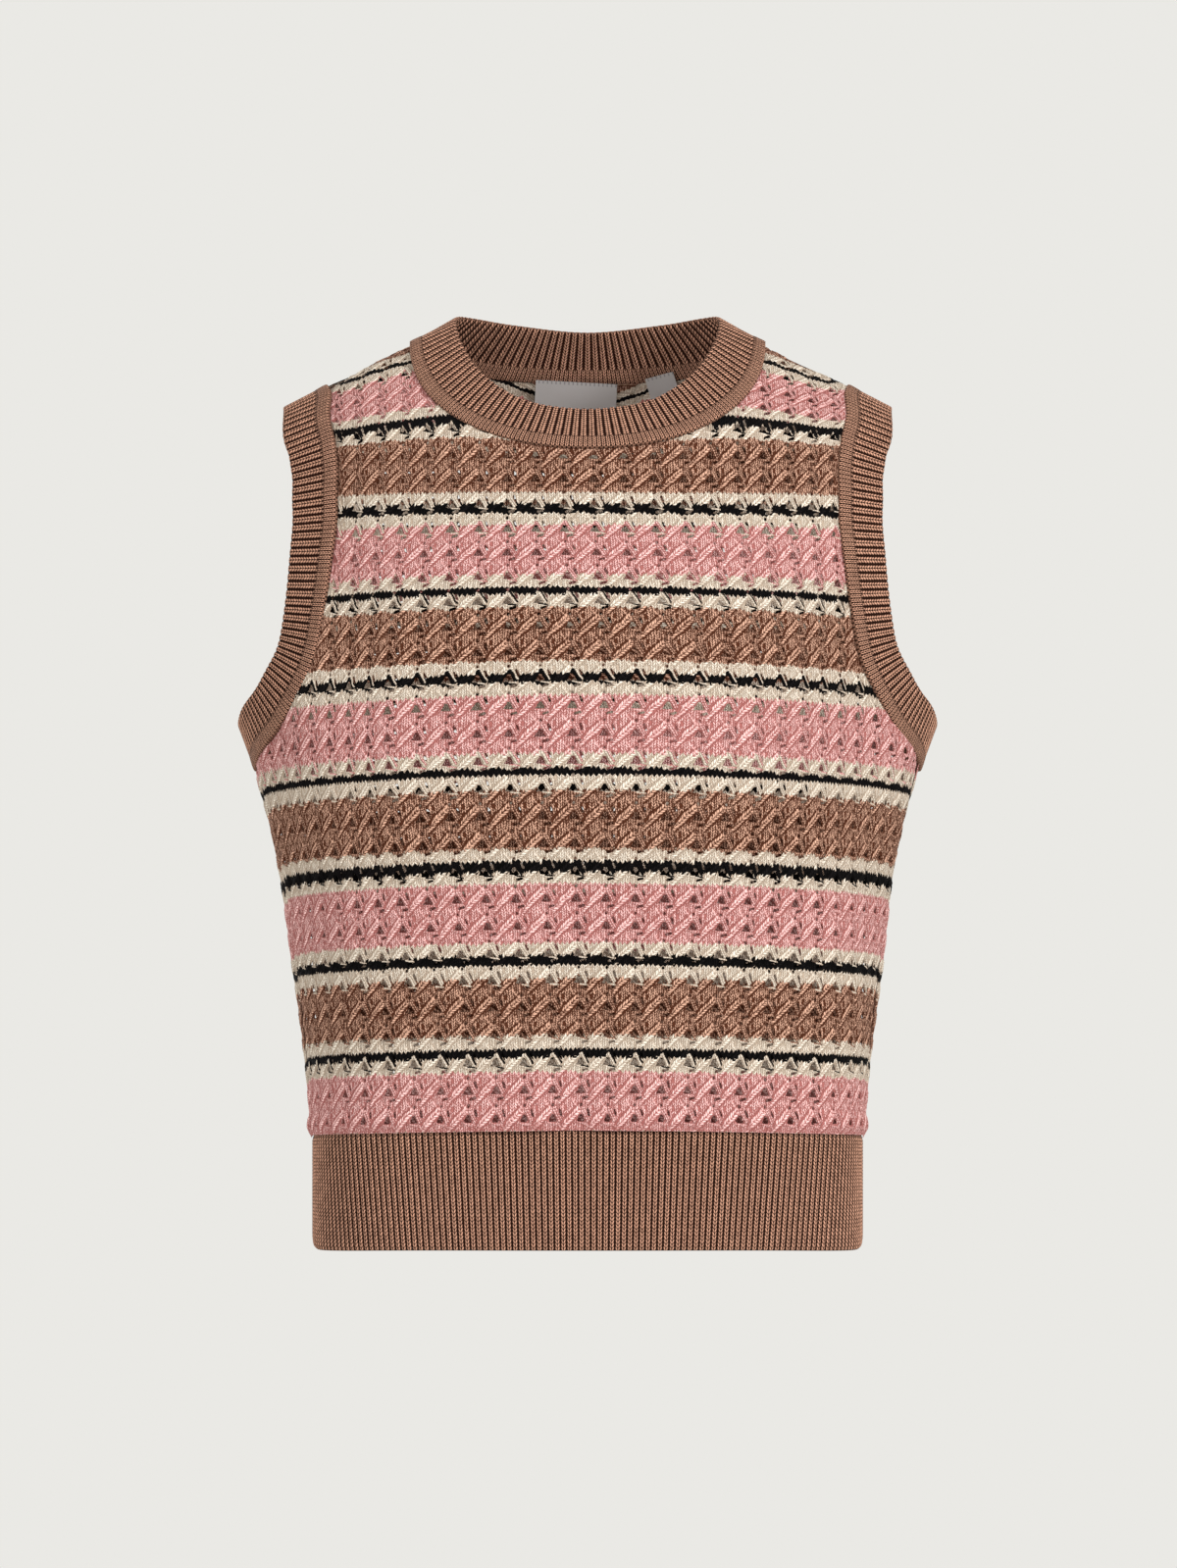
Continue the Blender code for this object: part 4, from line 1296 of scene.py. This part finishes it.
def yarn_ramp(nodes, row, black, cream, camel, pink):
    """One colour for each yarn, chosen by the row of the lace."""
    turn = nodes.math("FRACT", (row - FIRST_BLACK) * (0.5 / BLACK_EVERY))
    ramp = nodes.add("ShaderNodeValToRGB", {0: turn})
    ramp.color_ramp.interpolation = "CONSTANT"
    stops = [
        (0.0, black), (BLACK_HALF, cream), (CREAM_HALF, camel),
        (0.5 - CREAM_HALF, cream), (0.5 - BLACK_HALF, black), (0.5 + BLACK_HALF, cream),
        (0.5 + CREAM_HALF, pink), (1 - CREAM_HALF, cream), (1 - BLACK_HALF, black),
    ]
    elements = ramp.color_ramp.elements
    elements[0].color = colour(stops[0][1])
    elements[1].position, elements[1].color = stops[-1][0], colour(stops[-1][1])
    for at, rgb in stops[1:-1]:
        elements.new(at).color = colour(rgb)
    return Value(nodes, ramp.outputs[0])


def new_material(name, **uniform):
    """A material with its nodes and its main shader, whose uniform values are set."""
    material = bpy.data.materials.new(name)
    material.use_nodes = True
    shader = material.node_tree.nodes["Principled BSDF"]
    for key, value in uniform.items():
        shader.inputs[key.replace("_", " ")].default_value = value
    return material, Nodes(material.node_tree), shader


def yarn_material(name, settings, striped):
    """Yarn in one colour or in bands, darker between its stitches with painted shade."""
    material, nodes, shader = new_material(name, Roughness=0.9, Specular_IOR_Level=0.08)
    uv = nodes.value(0, "ShaderNodeUVMap", uv_map="Stitch")
    shade = nodes.value("Fac", "ShaderNodeAttribute", attribute_name="shade")
    place = nodes.value("Object", "ShaderNodeTexCoord")
    fibre = nodes.noise("Fac", place, FIBRE_FINE)
    speckle = nodes.noise("Fac", place, SPECKLE_FINE, detail=0.0)
    stray = nodes.vector("SUBTRACT", nodes.noise("Color", place, STRAY_FINE), (0.5, 0.5, 0.5))

    def strayed(place, most):
        return nodes.vector("ADD", place, nodes.vector("MULTIPLY", stray, most))

    if striped:
        cell = nodes.value(0, "ShaderNodeUVMap", uv_map="Cell")
        height, lit, row = nodes.group(lace_group(), strayed(cell, (0.12, 0.12, 0.0)),
                                       strayed(uv, (0.8, 1.2, 0.0)))
        base = yarn_ramp(nodes, row, settings.black, settings.cream, settings.camel,
                         settings.pink)
        # Shaded copies of the yarn colours, for painted shade.
        deep = yarn_ramp(nodes, row, settings.black_in_shade, settings.cream_in_shade,
                         settings.camel_in_shade, settings.pink_in_shade)
        contrast, uneven, shaded, fibrous = settings.contrast, 1.1, 0.75, 0.8
    else:
        height, lit, _ = nodes.group(stitch_group(), strayed(uv, (0.05, 0.15, 0.0)),
                                     settings.rib_leg, RIB_LOTS)
        height = height * RIB_HIGH
        base, deep = colour(settings.rib), colour(settings.rib_in_shade)
        contrast, uneven, shaded, fibrous = settings.rib_contrast, 0.2, 0.5, 0.4
    # Painted shade: the yarn turns towards its shaded copy, deep, low on each stitch and strand
    # and where the shade values say; speckle and fibre noise vary it.
    low = nodes.math("SUBTRACT", settings.brightest, lit, clamp=True)
    painted_shade_and_fibre = low * contrast * (speckle * uneven + (1 - uneven / 2)) + shade * shaded
    painted_shade_and_fibre = nodes.math("MULTIPLY_ADD", fibre - 0.5, fibrous, painted_shade_and_fibre, clamp=True)
    nodes.feed(shader.inputs["Base Color"], nodes.mix(painted_shade_and_fibre, base, deep))
    bump = {"Strength": 1.0, "Distance": settings.stitch_relief,
            "Height": fibre * 0.16 + height}
    nodes.feed(shader.inputs["Normal"], nodes.value(0, "ShaderNodeBump", bump))
    return material


def satin_material(name, settings):
    """Woven satin with tacking stitches along its upper edge."""
    material, nodes, shader = new_material(name, Roughness=0.5, Sheen_Weight=0.2)
    x, y = nodes.split(nodes.value(0, "ShaderNodeUVMap", uv_map="Stitch"))
    weave = nodes.math("SINE", y * 22.0) * 0.6 + nodes.math("SINE", x * 16.0)
    tack = nodes.math("GREATER_THAN", nodes.math("SINE", x * 2.6), 0.55)
    tack = tack * nodes.math("GREATER_THAN", y, -1.8)
    base = nodes.mix(weave * 0.04 + 0.1, colour(settings.label), colour(settings.label, 0.8))
    nodes.feed(shader.inputs["Base Color"], nodes.mix(tack, base, colour(settings.label, 0.5)))
    bump = {"Distance": 0.0001, "Height": weave}
    nodes.feed(shader.inputs["Normal"], nodes.value(0, "ShaderNodeBump", bump))
    return material


def paper_material(stage):
    """Pale paper that lets some light through."""
    material, nodes, shader = new_material(
        "paper", Roughness=0.95, Specular_IOR_Level=0.1, Emission_Color=colour(stage.paper),
        Emission_Strength=stage.glow)
    grain = nodes.noise("Fac", nodes.value("Object", "ShaderNodeTexCoord"), 3.0)
    tint = nodes.mix(grain * 0.02, colour(stage.paper, 0.30), colour(stage.paper, 0.27))
    nodes.feed(shader.inputs["Base Color"], tint)
    return material


# ---------------------------------------------------------------------------
# Settings.

Tint = partial(bpy.props.FloatVectorProperty, subtype="COLOR", min=0, max=1)
Length = partial(bpy.props.FloatProperty, subtype="DISTANCE", unit="LENGTH")


class KNIT_PG_yarn(bpy.types.PropertyGroup):
    pink: Tint(name="Pink", description="Pink yarn", default=(0.97, 0.62, 0.595))
    camel: Tint(name="Camel", description="Camel yarn of the brown stripes",
                default=(0.74, 0.435, 0.31))
    rib: Tint(name="Rib", description="Camel yarn of the neck, armhole and hem bands",
              default=(0.72, 0.385, 0.262))
    cream: Tint(name="Cream", description="Cream yarn", default=(0.84, 0.76, 0.65))
    black: Tint(name="Black", description="Black yarn", default=(0.006, 0.0045, 0.005))
    label: Tint(name="Label", description="Grey satin of the labels",
                default=(0.575, 0.545, 0.535))
    # Shaded copies of the yarns, used for painted shade between the stitches, down their sides
    # and in the grooves of the ribs.
    pink_in_shade: Tint(name="Pink, deep", description="Pink yarn between its stitches",
                    default=(0.38, 0.130, 0.118))
    camel_in_shade: Tint(name="Camel, deep", description="Camel yarn between its stitches",
                     default=(0.080, 0.024, 0.011))
    cream_in_shade: Tint(name="Cream, deep", description="Cream yarn between its stitches",
                     default=(0.46, 0.36, 0.275))
    rib_in_shade: Tint(name="Rib, deep", description="Camel yarn in the grooves of the ribs",
                   default=(0.018, 0.0050, 0.0022))
    black_in_shade: Tint(name="Black, deep", description="Black yarn between its stitches",
                     default=(0.001, 0.0006, 0.0006))
    # Contrast, Rib contrast and Brightest set how strongly painted shade darkens the yarn down
    # the sides of its stitches and strands.
    contrast: bpy.props.FloatProperty(
        name="Contrast", description="How fast the yarn darkens down its sides",
        min=0, max=4, default=2.7)
    rib_contrast: bpy.props.FloatProperty(
        name="Rib contrast", description="How fast the yarn of the ribs darkens down its sides",
        min=0, max=4, default=2.0)
    brightest: bpy.props.FloatProperty(
        name="Brightest", description="Share of a strand's height above which it isn't darkened",
        min=0, max=2, default=1.05)
    rib_leg: bpy.props.FloatProperty(
        name="Rib leg", description="Share of a rib that its two stitch legs fill",
        min=0.5, max=1, default=0.85)
    stitch_relief: Length(
        name="Stitch relief", description="Depth of a form one unit high", default=0.0013)


class KNIT_PG_lace(bpy.types.PropertyGroup):
    front_columns: bpy.props.IntProperty(
        name="Front columns", description="Faces across one repeat of the front", default=20)
    front_rows: bpy.props.IntProperty(
        name="Front rows", description="Faces up one repeat of the front", default=19)
    back_columns: bpy.props.IntProperty(
        name="Back columns", description="Faces across one repeat of the back", default=13)
    back_rows: bpy.props.IntProperty(
        name="Back rows", description="Faces up one repeat of the back", default=12)
    rib_faces: bpy.props.IntProperty(
        name="Rib faces", description="Faces across one rib", default=6)


class KNIT_PG_stage(bpy.types.PropertyGroup):
    distance: Length(
        name="Camera distance", description="From the camera to the middle of the top",
        default=4.5)
    level: Length(name="Camera height", description="Height of the camera", default=-0.243)
    lens: bpy.props.FloatProperty(
        name="Lens", description="Focal length in millimetres", default=187.6)
    key: bpy.props.FloatProperty(
        name="Key", description="Power of the key light in watts", default=365.0)
    inside: bpy.props.FloatProperty(
        name="Inside", description="Power in watts of each light inside the top", default=0.03)
    paper: Tint(name="Paper", description="Backdrop and even light",
                default=(0.823, 0.815, 0.783))
    glow: bpy.props.FloatProperty(
        name="Glow", description="Light that comes through the floor", default=0.46)


class KNIT_PG_top(bpy.types.PropertyGroup):
    yarn: bpy.props.PointerProperty(type=KNIT_PG_yarn)
    lace: bpy.props.PointerProperty(type=KNIT_PG_lace)
    stage: bpy.props.PointerProperty(type=KNIT_PG_stage)


# ---------------------------------------------------------------------------
# Operators.


class KNIT_OT_front(bpy.types.Operator):
    """Add the front panel's lace"""

    bl_idname = "knit.front"
    bl_label = "Front"

    def execute(self, context):
        top = context.scene.knit_top
        density = ((top.lace.front_columns, top.lace.front_rows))
        add_panel("front", *density, yarn_material("front_lace", top.yarn, True))
        return {"FINISHED"}


class KNIT_OT_back(bpy.types.Operator):
    """Add the back panel's lace"""

    bl_idname = "knit.back"
    bl_label = "Back"

    def execute(self, context):
        top = context.scene.knit_top
        density = ((top.lace.back_columns, top.lace.back_rows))
        add_panel("back", *density, yarn_material("back_lace", top.yarn, True))
        return {"FINISHED"}


class KNIT_OT_bands(bpy.types.Operator):
    """Add the ribbed bands of the neck, the armholes and the hem"""

    bl_idname = "knit.bands"
    bl_label = "Bands"

    def execute(self, context):
        top = context.scene.knit_top
        per_rib = top.lace.rib_faces
        torso, hem = torso_surface(), hem_surface()
        material = yarn_material("rib_yarn", top.yarn, False)
        add_neck_band(per_rib, material)
        for side in ("right", "left"):
            piece = add_armhole_band(torso, side, per_rib, material)
        for face, wide in (("front", 0.375), ("back", 0.445)):
            piece = add_hem_band(hem, face, per_rib, material)
        return {"FINISHED"}


class KNIT_OT_labels(bpy.types.Operator):
    """Add the plain satin labels inside the back neck"""

    bl_idname = "knit.labels"
    bl_label = "Labels"

    def execute(self, context):
        torso = torso_surface()
        material = satin_material("label_satin", context.scene.knit_top.yarn)
        for label in LABELS:
            piece = add_label(torso, label, material)
            label.wide * METRE
            label.drop * METRE
        return {"FINISHED"}


class KNIT_OT_stage(bpy.types.Operator):
    """Set the backdrop, the lights and the camera"""

    bl_idname = "knit.stage"
    bl_label = "Stage"

    def execute(self, context):
        stage = context.scene.knit_top.stage
        turns = np.linspace(0, 2 * math.pi, 97)[:-1]
        points = [(FLOOR_RADIUS * math.cos(turn), FLOOR_RADIUS * math.sin(turn), FLOOR_LEVEL)
                  for turn in turns]
        mesh = bpy.data.meshes.new("floor")
        mesh.from_pydata(points, [], [tuple(range(len(points)))])
        mesh.materials.append(paper_material(stage))
        add_object("floor", mesh)

        world = bpy.data.worlds.new("studio")
        context.scene.world = world
        world.use_nodes = True
        world.node_tree.nodes["Background"].inputs["Color"].default_value = colour(stage.paper)

        for height in (-0.12, -0.25, -0.38):
            data = bpy.data.lights.new("inside", "POINT")
            data.energy = stage.inside
            data.shadow_soft_size = 0.05
            light = add_object("inside", data, (0.0, 0.0, height))
            light.visible_camera = False
        for name, place, aim, size, power in (
            ("key", (4.8, -4.6, 2.2), (0.0, 0.0, -0.25), 1.8, stage.key),
            ("front", (-2.6, -6.0, -0.4), (0.0, 0.0, -0.35), 3.0, stage.key * 0.42),
            ("rear", (-2.0, 5.0, 1.4), (0.0, 0.0, -0.2), 3.0, stage.key * 0.40),
        ):
            data = bpy.data.lights.new(name, "AREA")
            data.energy = power
            data.size = size
            light = add_object(name, data, place)
            direction = np.array(aim) - np.array(place)
            light.rotation_mode = "QUATERNION"
            light.rotation_quaternion = Vector(direction).to_track_quat("-Z", "Y")

        data = bpy.data.cameras.new("camera")
        data.lens = stage.lens
        data.sensor_width = 36.0
        data.clip_end = 50.0
        camera = add_object("camera", data, (0.0005, -stage.distance, stage.level))
        camera.rotation_euler = (math.pi / 2, 0.0, 0.0)
        context.scene.camera = camera
        context.scene.view_settings.view_transform = "Standard"
        return {"FINISHED"}


class KNIT_PT_panel(bpy.types.Panel):
    """Buttons that dress the top"""

    bl_idname = "KNIT_PT_panel"
    bl_label = "Knit tank top"
    bl_space_type = "VIEW_3D"
    bl_region_type = "UI"
    bl_category = "Knit"

    def draw(self, context):
        for operator in OPERATORS:
            self.layout.operator(operator.bl_idname)


OPERATORS = (KNIT_OT_front, KNIT_OT_back, KNIT_OT_bands, KNIT_OT_labels, KNIT_OT_stage)
CLASSES = (KNIT_PG_yarn, KNIT_PG_lace, KNIT_PG_stage, KNIT_PG_top, *OPERATORS, KNIT_PT_panel)


def register():
    for item in CLASSES:
        bpy.utils.register_class(item)
    bpy.types.Scene.knit_top = bpy.props.PointerProperty(type=KNIT_PG_top)


def unregister():
    del bpy.types.Scene.knit_top
    for item in reversed(CLASSES):
        bpy.utils.unregister_class(item)


def main():
    register()
    for item in bpy.context.selected_objects:
        item.select_set(False)
    bpy.ops.knit.front()
    bpy.ops.knit.back()
    bpy.ops.knit.bands()
    bpy.ops.knit.labels()
    bpy.ops.knit.stage()


if __name__ == "__main__":
    main()
